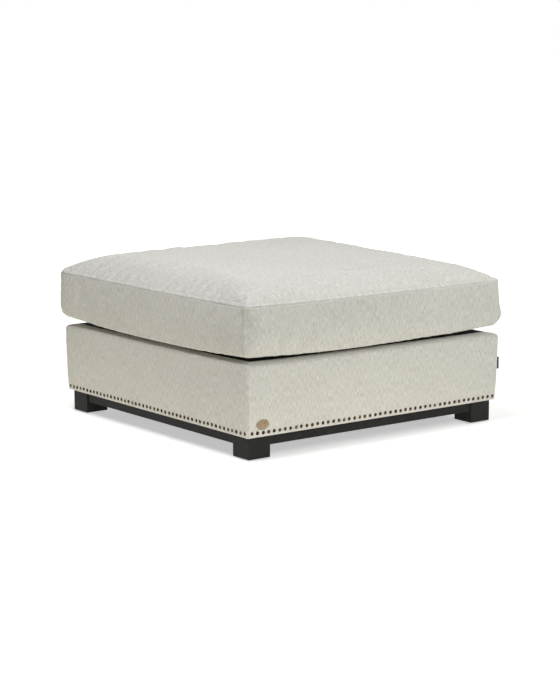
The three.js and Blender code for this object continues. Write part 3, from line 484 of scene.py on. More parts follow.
def add_seams(points, index, lines, walk_lines, row_lines):
    """Moves the fine cover's points along their normals to make seams, puckers and the zip's recess."""
    top, bottom, boxing = index
    quads = cover_quads(top, bottom, boxing)
    normals = point_normals(points, quads)
    side = 2 * SEAM_HALF
    move = np.zeros(len(points))

    offset = np.minimum(lines, side - lines)
    inset = np.minimum(offset[:, None], offset[None, :])
    line = lines - SEAM_HALF
    x, y = np.meshgrid(line, line, indexing="ij")
    place = np.stack([x, y], -1)
    along = np.where(np.abs(x) > np.abs(y), y, x)
    pucker = np.cos(along * 2 * np.pi / PUCKER_PITCH + PUCKER_WANDER * waves(place, 11, 60 * MM))
    puckers = pucker * ridge(inset, *PUCKERS) * climb(side / 2 - np.abs(along), PUCKER_END)
    seam = ridge(inset, *SEAM_PULL) + ridge(inset, *SEAM_SWELL)
    soft = UNEVEN_TOP * waves(place, 5, 260 * MM) * climb(inset - 12 * MM, 60 * MM)
    move[top] = seam + ridge(inset, *STITCH_GROOVE) + puckers + soft
    move[bottom] = seam

    shape = (len(walk_lines), len(row_lines))
    walk = np.broadcast_to(walk_lines[:, None], shape)
    row = np.broadcast_to(row_lines[None, :], shape)
    from_rim = np.minimum(row, BOXING_HEIGHT - row)
    place = np.stack([walk, row * 1.4], -1)
    soft = UNEVEN_BOXING * waves(place, 8, 130 * MM) * climb(from_rim, 25 * MM)
    band = ridge(from_rim, *BOXING_PULL) + soft
    corners = [side + FRONT_SEAM_OFFSET, 4 * side - FRONT_SEAM_OFFSET]
    corners += [2 * side + REAR_SEAM_OFFSET, 3 * side - REAR_SEAM_OFFSET]
    for corner in corners:
        from_seam = np.abs(walk - corner)
        band = band + ridge(from_seam, *UPRIGHT_PULL) * climb(from_rim, UPRIGHT_END)
        band = band + ridge(from_seam, *UPRIGHT_SWELL)
    reach = side / 2 - REAR_SEAM_OFFSET - ZIP_END_GAP
    beside = np.abs(row - BOXING_HEIGHT / 2)
    to_end = reach - np.abs(walk - 2.5 * side)
    in_zip = (beside < ZIP_HALF_OPENING) & (to_end > 0)
    band = np.where(in_zip, -ZIP_RECESS, band)
    spots = boxing[:, 1:-1]
    move[spots] = band[:, 1:-1]
    points = points + normals * move[:, None]
    over_tape = (1 - climb(beside - TAPE_COVER_HALF, TAPE_COVER_FADE)) * ~in_zip
    over_tape = over_tape * climb(to_end + TAPE_END_FADE, TAPE_END_FADE)
    points[spots, 1] += np.maximum(0, TAPE_COVER_Y - points[spots, 1]) * over_tape[:, 1:-1]
    return points, quads, normals


def cover_uvs(index, lines, walk_lines, row_lines):
    top, bottom, boxing = index
    flat = np.stack(np.meshgrid(lines, lines, indexing="ij"), -1)
    walk = np.concatenate([walk_lines, [4 * 2 * SEAM_HALF]])
    band = np.stack(np.meshgrid(walk, row_lines, indexing="ij"), -1)
    uvs = [grid_uvs(flat), grid_uvs(flat + 1.0, flip=True), grid_uvs(band + 2.0)]
    return np.concatenate([part.reshape(-1, 2) for part in uvs])


def make_cushion(material):
    """The cushion's cover with its filling, as one closed piece."""
    shape = cushion_shape(SIM_CELLS, SIM_ROWS)
    index = cover_index(SIM_CELLS, SIM_ROWS)
    quads = cover_quads(*index)
    top, bottom, boxing = index
    inset = np.zeros(len(shape))
    line = np.arange(SIM_CELLS + 1)
    from_rim = np.minimum(line, SIM_CELLS - line) * 2 * SEAM_HALF / SIM_CELLS
    inset[top] = climb(np.minimum(from_rim[:, None], from_rim[None, :]), SIM_START_REACH)
    inset[boxing] = SIM_START_BOXING * np.sin(np.pi * np.arange(SIM_ROWS + 1) / SIM_ROWS)[None, :]
    start = shape - point_normals(shape, quads) * (SIM_START * inset)[:, None]
    seams = np.unique(np.concatenate([boxing[:, 0], boxing[:, -1]]))
    resting = bottom[shape[bottom][..., 2] < DECK_LEVEL + RESTING_DEPTH]
    from_zip = np.abs(np.arange(4 * SIM_CELLS) - 2.5 * SIM_CELLS)
    zip_rows = slice(SIM_ROWS // 2 - 1, SIM_ROWS // 2 + 1)
    zipped = boxing[from_zip < SIM_CELLS / 2 - ZIP_END_CELLS, zip_rows].ravel()
    zip_line = shape[zipped]
    start[zipped] = zip_line
    moved = settled(start, quads, np.unique(np.concatenate([seams, resting, zipped])))
    shape = moved - spread_out(moved - shape, quads, SIM_TRIM_ROUNDS)
    shape[zipped] = zip_line
    shape[bottom.ravel(), 2] = np.maximum(shape[bottom.ravel(), 2], CUSHION_LOWEST)
    points, index, lines, walk_lines, row_lines = fine_cover(shape)
    points, quads, normals = add_seams(points, index, lines, walk_lines, row_lines)
    points[index[1].ravel(), 2] = np.maximum(points[index[1].ravel(), 2], CUSHION_LOWEST)
    uvs = cover_uvs(index, lines, walk_lines, row_lines)
    cover = new_piece("cushion_cover", points, quads, material, uvs)
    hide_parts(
        "cushion_top_panel",
        "cushion_bottom_panel",
        "cushion_boxing_front",
        "cushion_boxing_right",
        "cushion_boxing_left",
        "cushion_boxing_rear_lower",
        "cushion_boxing_rear_upper",
        "fibre_topper",
        "foam_core",
    )
    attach(cover, "cushion")
    stitch = int(np.argmin(np.abs(lines - STITCH_INSET)))
    ring = index[0][stitch : len(lines) - stitch, stitch : len(lines) - stitch]
    i, j = rim_walk(len(ring) - 1)
    return points[ring[i, j]], normals[ring[i, j]]


STITCH_PITCH = 5.2 * MM
STITCH_LENGTH = 3.9 * MM
THREAD_RADIUS = 0.42 * MM
THREAD_WIDENING = 1.15  # across the stitch, where the thread lies flattened
THREAD_LIFT = 0.35  # of its radius, out of the cloth
STITCH_TURN = 0.03  # radians, the usual error of a stitch's direction


def thread_stitches(name, points, normals, material, body, closed=True, inset=0.0):
    """Short stitches of thread along a line, each one a small rounded bar half sunk in the cloth."""
    points = np.asarray(points)
    if closed:
        points = np.concatenate([points, points[:1]])
        normals = np.concatenate([normals, normals[:1]])
    places = way_along(points)
    count = int((places[-1] - 2 * inset) / STITCH_PITCH)
    starts = inset + (np.arange(count) + 0.5) * (places[-1] - 2 * inset) / count
    bar = STITCH_LENGTH / 2 * np.array([-1, -0.8, -0.3, 0.3, 0.8, 1])
    width = np.array([0.35, 0.85, 1, 1, 0.85, 0.35])
    sides = 6
    angles = np.arange(sides) * 2 * np.pi / sides

    def at(table, place):
        return np.stack([np.interp(place, places, table[:, k]) for k in range(3)], -1)

    centre = at(points, starts)
    along = at(points, starts + MM) - at(points, starts - MM)
    along /= np.linalg.norm(along, axis=1, keepdims=True)
    up = at(normals, starts)
    up -= along * (up * along).sum(1, keepdims=True)
    up /= np.linalg.norm(up, axis=1, keepdims=True)
    across = np.cross(along, up)
    rng = np.random.default_rng(4)
    turn = rng.normal(0, STITCH_TURN, (count, 1))
    along, across = along + across * turn, across - along * turn

    ring = (
        np.cos(angles)[None, :, None, None] * across[:, None, None, :] * THREAD_RADIUS * THREAD_WIDENING
        + np.sin(angles)[None, :, None, None] * up[:, None, None, :] * THREAD_RADIUS
    )
    bars = centre[:, None, None, :] + along[:, None, None, :] * bar[None, None, :, None]
    bars = bars + ring * width[None, None, :, None] + up[:, None, None, :] * THREAD_RADIUS * THREAD_LIFT
    block = sides * len(bar)
    table = np.arange(block).reshape(sides, len(bar))
    quads = grid_faces(np.concatenate([table, table[:1]]))
    faces = []
    for k in range(count):
        faces.extend((quads + k * block).tolist())
        faces.append((table[::-1, 0] + k * block).tolist())
        faces.append((table[:, -1] + k * block).tolist())
    piece = new_piece(name, bars.reshape(-1, 3), faces, material)
    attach(piece, body)


# Base


# The corners of a square, in order round it, by their signs
CORNERS = ((-1, -1), (1, -1), (1, 1), (-1, 1))


def thicken(piece, thickness, offset=0):
    layer = piece.modifiers.new("Thickness", "SOLIDIFY")
    layer.thickness = thickness
    layer.offset = offset


def side_swell(height):
    share = np.clip((height - HEM_HEIGHT) / (DECK_EDGE - HEM_HEIGHT), 0, 1)
    return BASE_SWELL * (1 - (1 - share) ** 2)


LEAST_RADIUS = 0.3 * MM
COLUMN_PITCH = NAIL_PITCH / 6
CORNER_STEPS = 6
PANEL_HEIGHTS = MM * np.array(
    [68, 70, 71.7, 73.2, 74.7, 76.3, 78, 79.7, 81.3, 82.8, 84.3, 86, 88.5, 91.5, 95, 99, 104, 109.5]
)
UPPER_START = 115.5 * MM
UPPER_ROWS = 20
BORDER_LINES = MM * np.array([1.5, 4, 7, 10, 13, 16, 18.5, 19.2, 20, 20.8, 21.5, 23.5, 24.8])
BORDER_BEND = 0.2  # how much steeper than even the border climbs where it starts
BORDER_EDGES = (0.8 * MM, 3 * MM)  # below its inner edge, where the cloth turns down


def panel_section():
    """[how far out from the fabric's lower edge, height] from under the board to the deck's border."""
    hem = [(-HEM_REACH, HEM_HEIGHT), (-7 * MM, HEM_HEIGHT), (-4 * MM, HEM_HEIGHT)]
    for angle in (-90, -60, -30):
        out = HEM_ROUND * (math.cos(angle * DEGREE) - 1)
        hem.append((out, HEM_HEIGHT + HEM_ROUND * (1 + math.sin(angle * DEGREE))))
    top = SHOULDER_START
    heights = np.concatenate([PANEL_HEIGHTS, np.linspace(UPPER_START, top, UPPER_ROWS)])
    wall = [(side_swell(height), height) for height in heights]
    centre = side_swell(top) - TOP_ROUND
    round_top = []
    for angle in np.linspace(TOP_ARC / 6, TOP_ARC, 6) * DEGREE:
        round_top.append((centre + TOP_ROUND * math.cos(angle), top + TOP_ROUND * math.sin(angle)))
    start_out, start_high = round_top[-1]
    inner = DECK_EDGE + BORDER_RISE
    border = []
    for reach in BORDER_LINES:
        share = (reach + start_out) / (DECK_BORDER + start_out)
        border.append((-reach, start_high + (inner - start_high) * share * (1 + BORDER_BEND * (1 - share))))
    edge = [(-DECK_BORDER, inner - drop) for drop in BORDER_EDGES]
    return np.array(hem + wall + round_top + border + edge)


def panel_stations():
    """[share of the straight part from -1 to 1, angle round the corner] along a panel, from seam to seam."""
    core = BASE_HALF - BASE_RADIUS
    count = int(core / COLUMN_PITCH)
    straight = np.concatenate([[-core], np.arange(-count, count + 1) * COLUMN_PITCH, [core]]) / core
    turn = 45 * (1 - (np.arange(CORNER_STEPS) / CORNER_STEPS) ** 1.5)
    stations = [(-1, -angle) for angle in turn]
    stations += [(share, 0) for share in straight]
    stations += [(1, angle) for angle in turn[::-1]]
    return np.array(stations)


BACKING = 1.2 * MM
# Relief in the side panels, as (how far out, how far from the line that it follows, how wide)
NAIL_DIMPLE = (-0.65 * MM, 0, 6 * MM)
HEM_SWELL = (0.5 * MM, 11 * MM, 7 * MM)
PANEL_SEAM = (-1.8 * MM, 0, 1.6 * MM)
PANEL_SEAM_SWELL = (0.5 * MM, 6 * MM, 4 * MM)
SEAM_TUCKS = (0.35 * MM, 6 * MM, 10 * MM)
BORDER_STITCH_INSET = 6 * MM
BORDER_GROOVE = (-0.5 * MM, BORDER_STITCH_INSET, 1.3 * MM)
NAIL_END = 12 * MM  # from a seam to where the dimples start
NAIL_FOLD = 0.35 * MM  # the cloth's pull above the nails
NAIL_FOLD_LENGTH = 16 * MM
UNEVEN_PANEL = 1.2 * MM


def make_side_panel(name, material):
    """One side's cloth from its hem to the deck, and the line for the stitches in its border."""
    along, facing = SIDES[name]
    section = panel_section()
    stations = panel_stations()
    radius = np.maximum(BASE_RADIUS + np.minimum(section[:, 0], 0), LEAST_RADIUS)
    core = BASE_HALF + section[:, 0] - radius
    angle = stations[:, 1, None] * DEGREE
    run = stations[:, 0, None] * core + radius * np.sin(angle)
    out = core + radius * np.cos(angle)
    high = np.broadcast_to(section[:, 1], run.shape)
    points = run[..., None] * along + out[..., None] * facing + high[..., None] * UP
    lift = CORNER_LIFT * near_corner(points[..., 0], points[..., 1], (-1, -1), CORNER_LIFT_REACH)
    points[..., 2] += lift * smooth(high - CORNER_LIFT_START, DECK_EDGE - CORNER_LIFT_START)
    table = np.arange(run.size).reshape(run.shape)
    quads = grid_faces(table)
    flat = points.reshape(-1, 3)
    normals = point_normals(flat, quads)

    place = stations[:, 0] * (BASE_HALF - BASE_RADIUS) + BASE_RADIUS * stations[:, 1] * DEGREE
    length = way_along(section)
    u = np.broadcast_to(place[:, None], run.shape)
    v = np.broadcast_to(length[None, :], run.shape)
    from_nails = v - length[(section[:, 1] < NAIL_HEIGHT).sum()]
    from_hem = v - length[5]
    from_border = length[-3] - v
    from_seam = place.max() - np.abs(u)

    between = np.cos(2 * np.pi * (u / NAIL_PITCH - 0.5))  # 1 at a nail and -1 between two
    above = between * (1 - climb(from_nails, NAIL_FOLD_LENGTH)) * smooth(from_nails, 6 * MM)
    wander = waves(np.stack([u, v * 0.5], -1), ord(name[0]), 45 * MM)
    soft = UNEVEN_PANEL * waves(np.stack([u, v * 1.6], -1), ord(name[1]), 150 * MM)
    edge = smooth(from_hem - 10 * MM, 40 * MM) * smooth(from_border - DECK_BORDER, 25 * MM)
    move = between * ridge(from_nails, *NAIL_DIMPLE) * (from_seam > NAIL_END)
    move = move - NAIL_FOLD * above * (1 + 0.5 * wander) * smooth(from_seam, 20 * MM)
    move = move + ridge(from_nails, *HEM_SWELL)
    move = move + soft * edge * smooth(from_seam, 50 * MM)
    seam = ridge(from_seam, *PANEL_SEAM) + ridge(from_seam, *PANEL_SEAM_SWELL)
    move = move + seam * smooth(from_border, 6 * MM)
    tucks = waves(np.stack([u * 0.3, v], -1), ord(name[2]), 26 * MM) * ridge(from_seam, *SEAM_TUCKS)
    move = move + tucks * edge + ridge(from_border, *BORDER_GROOVE)
    flat = flat + normals * move.ravel()[:, None]

    uvs = grid_uvs(np.stack([u + 0.31 * ord(name[0]), v], -1))
    panel = new_piece("panel_" + name, flat, quads, material, uvs)
    thicken(panel, BACKING, -1)
    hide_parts("side_panel_" + name)
    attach(panel, "base")
    row = int(np.argmin(np.abs(from_border[0] - BORDER_STITCH_INSET)))
    line = flat.reshape(*run.shape, 3)[CORNER_STEPS:-CORNER_STEPS, row]
    return line, np.broadcast_to(UP, line.shape)


def ring_points(centre, across, up, facing, rings, sides, half=(1.0, 1.0)):
    """Rings of points round an axis. Each ring is [radius as a share of half, how far out]."""
    angles = np.arange(sides) * 2 * np.pi / sides
    points = []
    for share, out in rings:
        x = np.cos(angles) * half[0] * share
        z = np.sin(angles) * half[1] * share
        points.append(centre + x[:, None] * across + z[:, None] * up + out * facing)
    return np.concatenate(points)


def ring_faces(rings, sides, start=0):
    """Faces of a solid of rings, closed by a face at either end."""
    table = np.arange(rings * sides).reshape(rings, sides)
    around = np.concatenate([table, table[:, :1]], 1)
    faces = grid_faces(around, flip=True).tolist()
    faces.append(table[0, ::-1].tolist())
    faces.append(table[-1].tolist())
    return [[start + k for k in face] for face in faces]


NAIL_SIDES = 14
NAIL_RISE = 2.3 * MM
NAIL_RIM = 0.15 * MM
NAIL_SINK = 0.35 * MM
# The usual errors of a nail's place along the row, height, tilt in radians and size as a share
NAIL_ERRORS = (0.45 * MM, 0.35 * MM, 0.07, 0.012)


def make_nails(name, material):
    """A row of domed nail heads, set by hand: no two at quite the same height, place or tilt."""
    along, facing = SIDES[name]
    rng = np.random.default_rng(ord(name[0]))
    run_error, high_error, tilt_error, size_error = NAIL_ERRORS
    dome = [(1.0, -0.5 * MM), (1.0, NAIL_RIM)]
    dome += [(math.cos(t), NAIL_RIM + NAIL_RISE * math.sin(t)) for t in (0.3, 0.62, 0.95, 1.25)]
    dome.append((0.08, NAIL_RIM + NAIL_RISE))
    points, faces = [], []
    for number in range(NAILS_PER_SIDE):
        run = (number - (NAILS_PER_SIDE - 1) / 2) * NAIL_PITCH + rng.normal(0, run_error)
        high = NAIL_HEIGHT + rng.normal(0, high_error)
        tilt = rng.normal(0, tilt_error, 2)
        out = facing + tilt[0] * along + tilt[1] * UP
        out /= np.linalg.norm(out)
        across = np.cross(UP, out)
        across /= np.linalg.norm(across)
        up = np.cross(out, across)
        seat = BASE_HALF + side_swell(high) - NAIL_SINK
        centre = run * along + seat * facing + high * UP
        size = NAIL_RADIUS * rng.normal(1, size_error)
        start = len(points) * NAIL_SIDES * len(dome)
        points.append(ring_points(centre, across, up, out, dome, NAIL_SIDES, (size, size)))
        faces += ring_faces(len(dome), NAIL_SIDES, start)
    row = new_piece("nail_heads_" + name, np.concatenate(points), faces, material)
    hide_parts("nail_row_" + name)
    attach(row, "base")


# The plaque's rings, from its back edge to its middle, as (share of its half size, millimetres out)
PLAQUE_RINGS = (
    (0.97, 0), (1.0, 0.35), (1.0, 0.9), (0.985, 1.35), (0.95, 1.6), (0.90, 1.55), (0.86, 1.2), (0.82, 0.95),
    (0.74, 0.9), (0.71, 1.1), (0.68, 1.2), (0.65, 1.1), (0.62, 0.95), (0.45, 1.0), (0.25, 1.05), (0.05, 1.08),
)
PLAQUE_SIDES = 64
PIN_SIDES = 20
PIN_SHANK = 0.55  # its straight part's share of a pin's reach


def make_plaque(material):
    """A plain oval plate with a raised rim, dished inside it, and a domed pin at each end."""
    across, facing = SIDES["front"]

    def seated(name, box, half, rings, sides):
        low, high = box
        centre = np.array([(low[0] + high[0]) / 2, high[1], (low[2] + high[2]) / 2])
        points = ring_points(centre, across, UP, facing, rings, sides, half)
        return new_piece(name, points, ring_faces(len(rings), sides), material)

    box = np.array(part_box("plaque"))
    wide, _, high = (box[1] - box[0]) / 2
    rings = [(share, out * MM) for share, out in PLAQUE_RINGS]
    plate = seated("plaque_plate", box, (wide, high), rings, PLAQUE_SIDES)
    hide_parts("plaque")
    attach(plate, "base")
    for side in ("left", "right"):
        box = np.array(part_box("plaque_pin_" + side))
        width, reach, _ = box[1] - box[0]
        dome = [(1.0, 0.2 * MM), (1.0, reach * PIN_SHANK)]
        rounding = reach * (1 - PIN_SHANK)
        dome += [(math.cos(t), reach * PIN_SHANK + rounding * math.sin(t)) for t in (0.4, 0.8, 1.15)]
        dome.append((0.1, reach))
        pin = seated("plaque_pin_head_" + side, box, (width / 2, width / 2), dome, PIN_SIDES)
        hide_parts("plaque_pin_" + side)
        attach(pin, "base")


LABEL_FOLD_GAP = 3.8 * MM  # from the label's node's end to where its fold ends
LABEL_ROWS = 13
LABEL_LEAN = 0.35 * MM
CLOTH_THICKNESS = 0.5 * MM


def make_label(material):
    """A woven ribbon folded in half, its ends caught in the corner seam."""
    low, high = np.array(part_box("corner_label"))
    middle = (low[1] + high[1]) / 2
    half = (high[1] - low[1]) / 2 - 0.3 * MM
    bend = high[0] - half - LABEL_FOLD_GAP
    path = [(low[0] - 1.5 * MM, -half * 0.5), (low[0] + 2 * MM, -half * 0.8), (low[0] + 5 * MM, -half)]
    path += [(bend + half * math.sin(t), -half * math.cos(t)) for t in np.linspace(0, math.pi, 9)]
    path += [(x, -y) for x, y in path[2::-1]]
    path = np.array(path)
    heights = np.linspace(low[2] + 0.2 * MM, high[2] - 0.2 * MM, LABEL_ROWS)
    points = []
    for z in heights:
        lean = LABEL_LEAN * math.sin((z - low[2]) / (high[2] - low[2]) * math.pi) - 0.1 * MM
        points.append(np.stack([path[:, 0], middle + path[:, 1] * 0.9 + lean, np.full(len(path), z)], -1))
    points = np.array(points)
    table = np.arange(LABEL_ROWS * len(path)).reshape(LABEL_ROWS, len(path))
    length = way_along(path)
    uv = np.stack(np.broadcast_arrays(length[None, :], (heights - low[2])[:, None]), -1)
    label = new_piece("folded_label", points.reshape(-1, 3), grid_faces(table), material, grid_uvs(uv))
    thicken(label, CLOTH_THICKNESS)
    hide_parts("corner_label")
    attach(label, "base")


DECK_LINES = MM * np.array([0, 1.2, 2.6, 4.5, 7, 10, 14, 19, 25])
DECK_LINE_STEP = 9 * MM
DECK_RISE_REACH = 22 * MM
DECK_WRINKLES = (0.25 * MM, 14 * MM, 16 * MM)
DECK_HOLLOW = 0.7 * MM
DECK_EDGE_DROP = 1.2 * MM  # from the border's inner edge


def make_deck(material):
    """The sewn-in platform under the cushion: a thin foam pad under near-black cloth, whose darkness is
    painted shade for the deep gap between cushion and deck.
    """
    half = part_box("deck_cover")[1][0]
    lines = spread_lines(2 * half, DECK_LINES, DECK_LINE_STEP) - half
    x, y = np.meshgrid(lines, lines, indexing="ij")
    near = half - np.maximum(np.abs(x), np.abs(y))
    both = climb(half - np.abs(x), DECK_RISE_REACH) * climb(half - np.abs(y), DECK_RISE_REACH)
    place = np.stack([x, y], -1)
    wrinkles = waves(place, 31, 30 * MM) * ridge(near, *DECK_WRINKLES)
    hollow = DECK_HOLLOW * np.abs(waves(place, 32, 160 * MM)) * smooth(near, 60 * MM)
    level = DECK_LEVEL - 0.6 * MM
    start = DECK_EDGE + BORDER_RISE - DECK_EDGE_DROP
    z = np.minimum(start + (level - start) * both + wrinkles - hollow, DECK_LEVEL - 0.1 * MM)
    top = np.stack([x, y, z], -1)
    bottom = np.stack([x, y, np.full_like(x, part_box("deck_pad")[0][2])], -1)
    index = cover_index(len(lines) - 1, 1)
    points = np.concatenate([top.reshape(-1, 3), bottom.reshape(-1, 3)])
    flat = place + 5.0
    i, j = rim_walk(len(lines) - 1)
    rim = np.append(i, i[0]), np.append(j, j[0])
    band = np.stack([flat[rim], flat[rim] + 4 * MM], 1)
    corners = [grid_uvs(flat), grid_uvs(flat, flip=True), grid_uvs(band)]
    uvs = np.concatenate([part.reshape(-1, 2) for part in corners])
    deck = new_piece("deck_platform", points, cover_quads(*index), material, uvs)
    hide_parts("deck_cover", "deck_pad")
    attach(deck, "base")


def wire_points(spots, aside, up):
    """Four points round each spot of a wire of rectangular section, given half its width and thickness."""
    return np.stack([spots + a * aside + b * up for a, b in CORNERS], 1).reshape(-1, 3)


DUST_COVER_CELLS = 64
DUST_COVER_EDGE = 35 * MM  # up to which it lies flat on the boards
DUST_COVER_SAG = 4 * MM
DUST_COVER_UNEVEN = 0.4 * MM
STAPLE_PITCH = 46 * MM
STAPLE_ERRORS = (0.16, 2.5 * MM, 0.7 * MM)  # turn in radians, along the edge and in from it
STAPLE_SPOTS = MM * np.array([(-5, 0.55), (-4.6, 0), (4.6, 0), (5, 0.55)])
STAPLE_INSET = 8 * MM


def make_dust_cover(material, staple_material):
    """The black cloth that closes the underside, stapled to the boards and sagging a little between them."""
    low, high = np.array(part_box("dust_cover"))
    half = high[0] - 0.5 * MM
    line = np.linspace(-half, half, DUST_COVER_CELLS + 1)
    x, y = np.meshgrid(line, line, indexing="ij")
    place = np.stack([x, y], -1)
    near = half - np.maximum(np.abs(x), np.abs(y)) - DUST_COVER_EDGE
    z = low[2] + 0.4 * MM - DUST_COVER_SAG * smooth(near, 300 * MM)
    z = z - DUST_COVER_UNEVEN * (1 + waves(place, 21, 60 * MM)) * smooth(near, 60 * MM)
    points = np.stack([x, y, z], -1).reshape(-1, 3)
    table = np.arange(x.size).reshape(x.shape)
    cover = new_piece("dust_cloth_cover", points, grid_faces(table), material, grid_uvs(place))
    thicken(cover, CLOTH_THICKNESS)
    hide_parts("dust_cover")
    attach(cover, "base")

    rng = np.random.default_rng(9)
    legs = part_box("leg_rear_right")[0][0]
    stations = np.arange(-legs + 22 * MM, legs - 20 * MM, STAPLE_PITCH)
    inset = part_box("plinth_rail_right")[0][0] - STAPLE_INSET
    turn_error, run_error, inset_error = STAPLE_ERRORS
    points, faces = [], []
    for along, facing in SIDES.values():
        for station in stations:
            turn = rng.normal(0, turn_error)
            run = along * math.cos(turn) + facing * math.sin(turn)
            centre = (station + rng.normal(0, run_error)) * along
            centre = centre + (inset + rng.normal(0, inset_error)) * facing
            centre[2] = low[2] - 0.25 * MM
            spots = centre + STAPLE_SPOTS[:, :1] * run + STAPLE_SPOTS[:, 1:] * UP
            faces += ring_faces(len(spots), 4, len(points) * 4 * len(spots))
            points.append(wire_points(spots, 0.5 * MM * np.cross(UP, run), 0.25 * MM * UP))
    staples = new_piece("dust_cloth_staples", np.concatenate(points), faces, staple_material)
    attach(staples, "base")


TAPE_STATIONS = 121
COIL_END_GAP = 16 * MM
COIL_PITCH = 1.3 * MM
# A coil loop's spots, as (how far past the zip's middle, how far off the tape, share of the wire's
# thickness), the first two in millimetres
COIL_SPOTS = np.array(
    [(2.3, 0.15, 0.8), (1.9, 0.85, 1), (0.9, 1.25, 1), (-0.3, 1.2, 1), (-0.9, 0.8, 1), (-1.0, 0.3, 0.8)]
)


def make_zip(tape_material, coil_material):
    """The zip's two woven tapes and its row of interlocked coil loops."""
    low, high = np.array(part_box("zip_tape"))
    middle = (low[2] + high[2]) / 2
    back = low[1]
    face = back + 0.75 * MM
    runs = np.linspace(low[0], high[0], TAPE_STATIONS)
    rows = [(0.25, face - 0.1 * MM), (0.9, face), (2.0, face), (3.2, face), (3.6, face + 0.12 * MM)]
    rows += [(4.1, face), (8, face), (13.6, face), (14, back + 0.35 * MM)]
    rows += [(13.6, back), (7, back), (0.6, back)]
    points, faces = [], []
    for sign in (-1, 1):
        ring = [(sign * z * MM, y) for z, y in rows]
        start = len(points) * len(runs) * len(rows)
        points.append(np.array([[(x, y, middle + z) for z, y in ring] for x in runs]).reshape(-1, 3))
        table = start + np.arange(len(runs) * len(rows)).reshape(len(runs), len(rows))
        around = np.concatenate([table, table[:, :1]], 1)
        faces += grid_faces(around, flip=sign > 0).tolist()
        faces += [table[0][::sign].tolist(), table[-1][::-sign].tolist()]
    tape = new_piece("zip_tape_woven", np.concatenate(points), faces, tape_material)
    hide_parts("zip_tape")
    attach(tape, "cushion")

    coil_half = high[0] - COIL_END_GAP
    across = 0.5 * MM * COIL_SPOTS[:, 2:] * X
    deep = 0.4 * MM * COIL_SPOTS[:, 2:] * Y
    points, faces = [], []
    for number in range(int(2 * coil_half / COIL_PITCH)):
        x = -coil_half + (number + 0.5) * COIL_PITCH
        sign = 1 if number % 2 else -1
        spots = np.array([(x, face + y * MM, middle + sign * z * MM) for z, y, _ in COIL_SPOTS])
        strip = ring_faces(len(spots), 4, len(points) * 4 * len(spots))
        faces += [loop[::-1] for loop in strip] if sign > 0 else strip
        points.append(wire_points(spots, across, deep))
    coil = new_piece("zip_coil", np.concatenate(points), faces, coil_material)
    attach(coil, "cushion")


# Materials


WHITE = (1, 1, 1, 1)


def srgb(red, green, blue):
    """A colour as 0 to 255 in sRGB, as the linear colour that shaders take."""
    values = np.array([red, green, blue]) / 255
    linear = np.where(values <= 0.04045, values / 12.92, ((values + 0.055) / 1.055) ** 2.4)
    return (*linear.tolist(), 1.0)


class Nodes:
    """Short calls that add shader nodes to a tree."""

    def __init__(self, tree):
        self.tree = tree

    def put(self, socket, value):
        if isinstance(value, bpy.types.NodeSocket):
            self.tree.links.new(value, socket)
        else:
            socket.default_value = value

    def node(self, kind, sockets, output=0, **settings):
        node = self.tree.nodes.new("ShaderNode" + kind)
        for key, value in settings.items():
            setattr(node, key, value)
        for key, value in sockets.items():
            self.put(node.inputs[key], value)
        return node.outputs[output]

    def cloth(self):
        return self.node("UVMap", {}, uv_map="Cloth")

    def place(self):
        return self.node("TexCoord", {}, output=3)

    def scaled(self, vector, scale):
        return self.node("Mapping", {"Vector": vector, "Scale": scale})

    def noise(self, vector, scale, detail=2.0, roughness=0.5):
        sockets = {"Vector": vector, "Scale": scale, "Detail": detail, "Roughness": roughness}
        return self.node("TexNoise", sockets)

    def grain(self, vector, scale, detail=2.0, roughness=0.5):
        """Noise with a scale of its own along each axis."""
        return self.noise(self.scaled(vector, scale), 1.0, detail, roughness)

    def stripes(self, vector, pitch, direction="X", distortion=0.0):
        sockets = {"Vector": vector, "Scale": math.pi / 10 / pitch, "Distortion": distortion}
        return self.node("TexWave", sockets, output=1, bands_direction=direction)

    def math(self, operation, a, b):
        return self.node("Math", {0: a, 1: b}, operation=operation)

    def weighted(self, *pairs):
        """The sum of each value times its weight."""
        total = None
        for value, weight in pairs:
            part = self.math("MULTIPLY", value, weight)
            total = part if total is None else self.math("ADD", total, part)
        return total

    def spread(self, value, low, high, to_low=0.0, to_high=1.0):
        sockets = {"Value": value, "From Min": low, "From Max": high, "To Min": to_low, "To Max": to_high}
        return self.node("MapRange", sockets)

    def ramp(self, factor, *stops):
        """A colour ramp with stops as (position, red, green, blue), the colours as in srgb."""
        output = self.node("ValToRGB", {"Fac": factor})
        elements = output.node.color_ramp.elements
        while len(elements) < len(stops):
            elements.new(0.5)
        for element, (position, *color) in zip(elements, stops):
            element.position = position
            element.color = srgb(*color)
        return output

    def mix(self, factor, a, b):
        return self.node("Mix", {0: factor, 6: a, 7: b}, output=2, data_type="RGBA")

    def edges(self, radius):
        """0 on flat faces and 1 on edges, from how much a rounded edge would turn the normal."""
        rounded = self.node("Bevel", {"Radius": radius}, samples=6)
        plain = self.node("NewGeometry", {}, output=1)
        turn = self.node("VectorMath", {0: rounded, 1: plain}, output=1, operation="DOT_PRODUCT")
        return self.spread(turn, 0.995, 0.85)

    def seen(self):
        """1 where the camera looks, also in a mirror or through glass, and 0 where only light arrives."""
        light = self.tree.nodes.new("ShaderNodeLightPath").outputs
        most = self.math("MAXIMUM", light["Is Camera Ray"], light["Is Glossy Ray"])
        return self.math("MAXIMUM", most, light["Is Transmission Ray"])


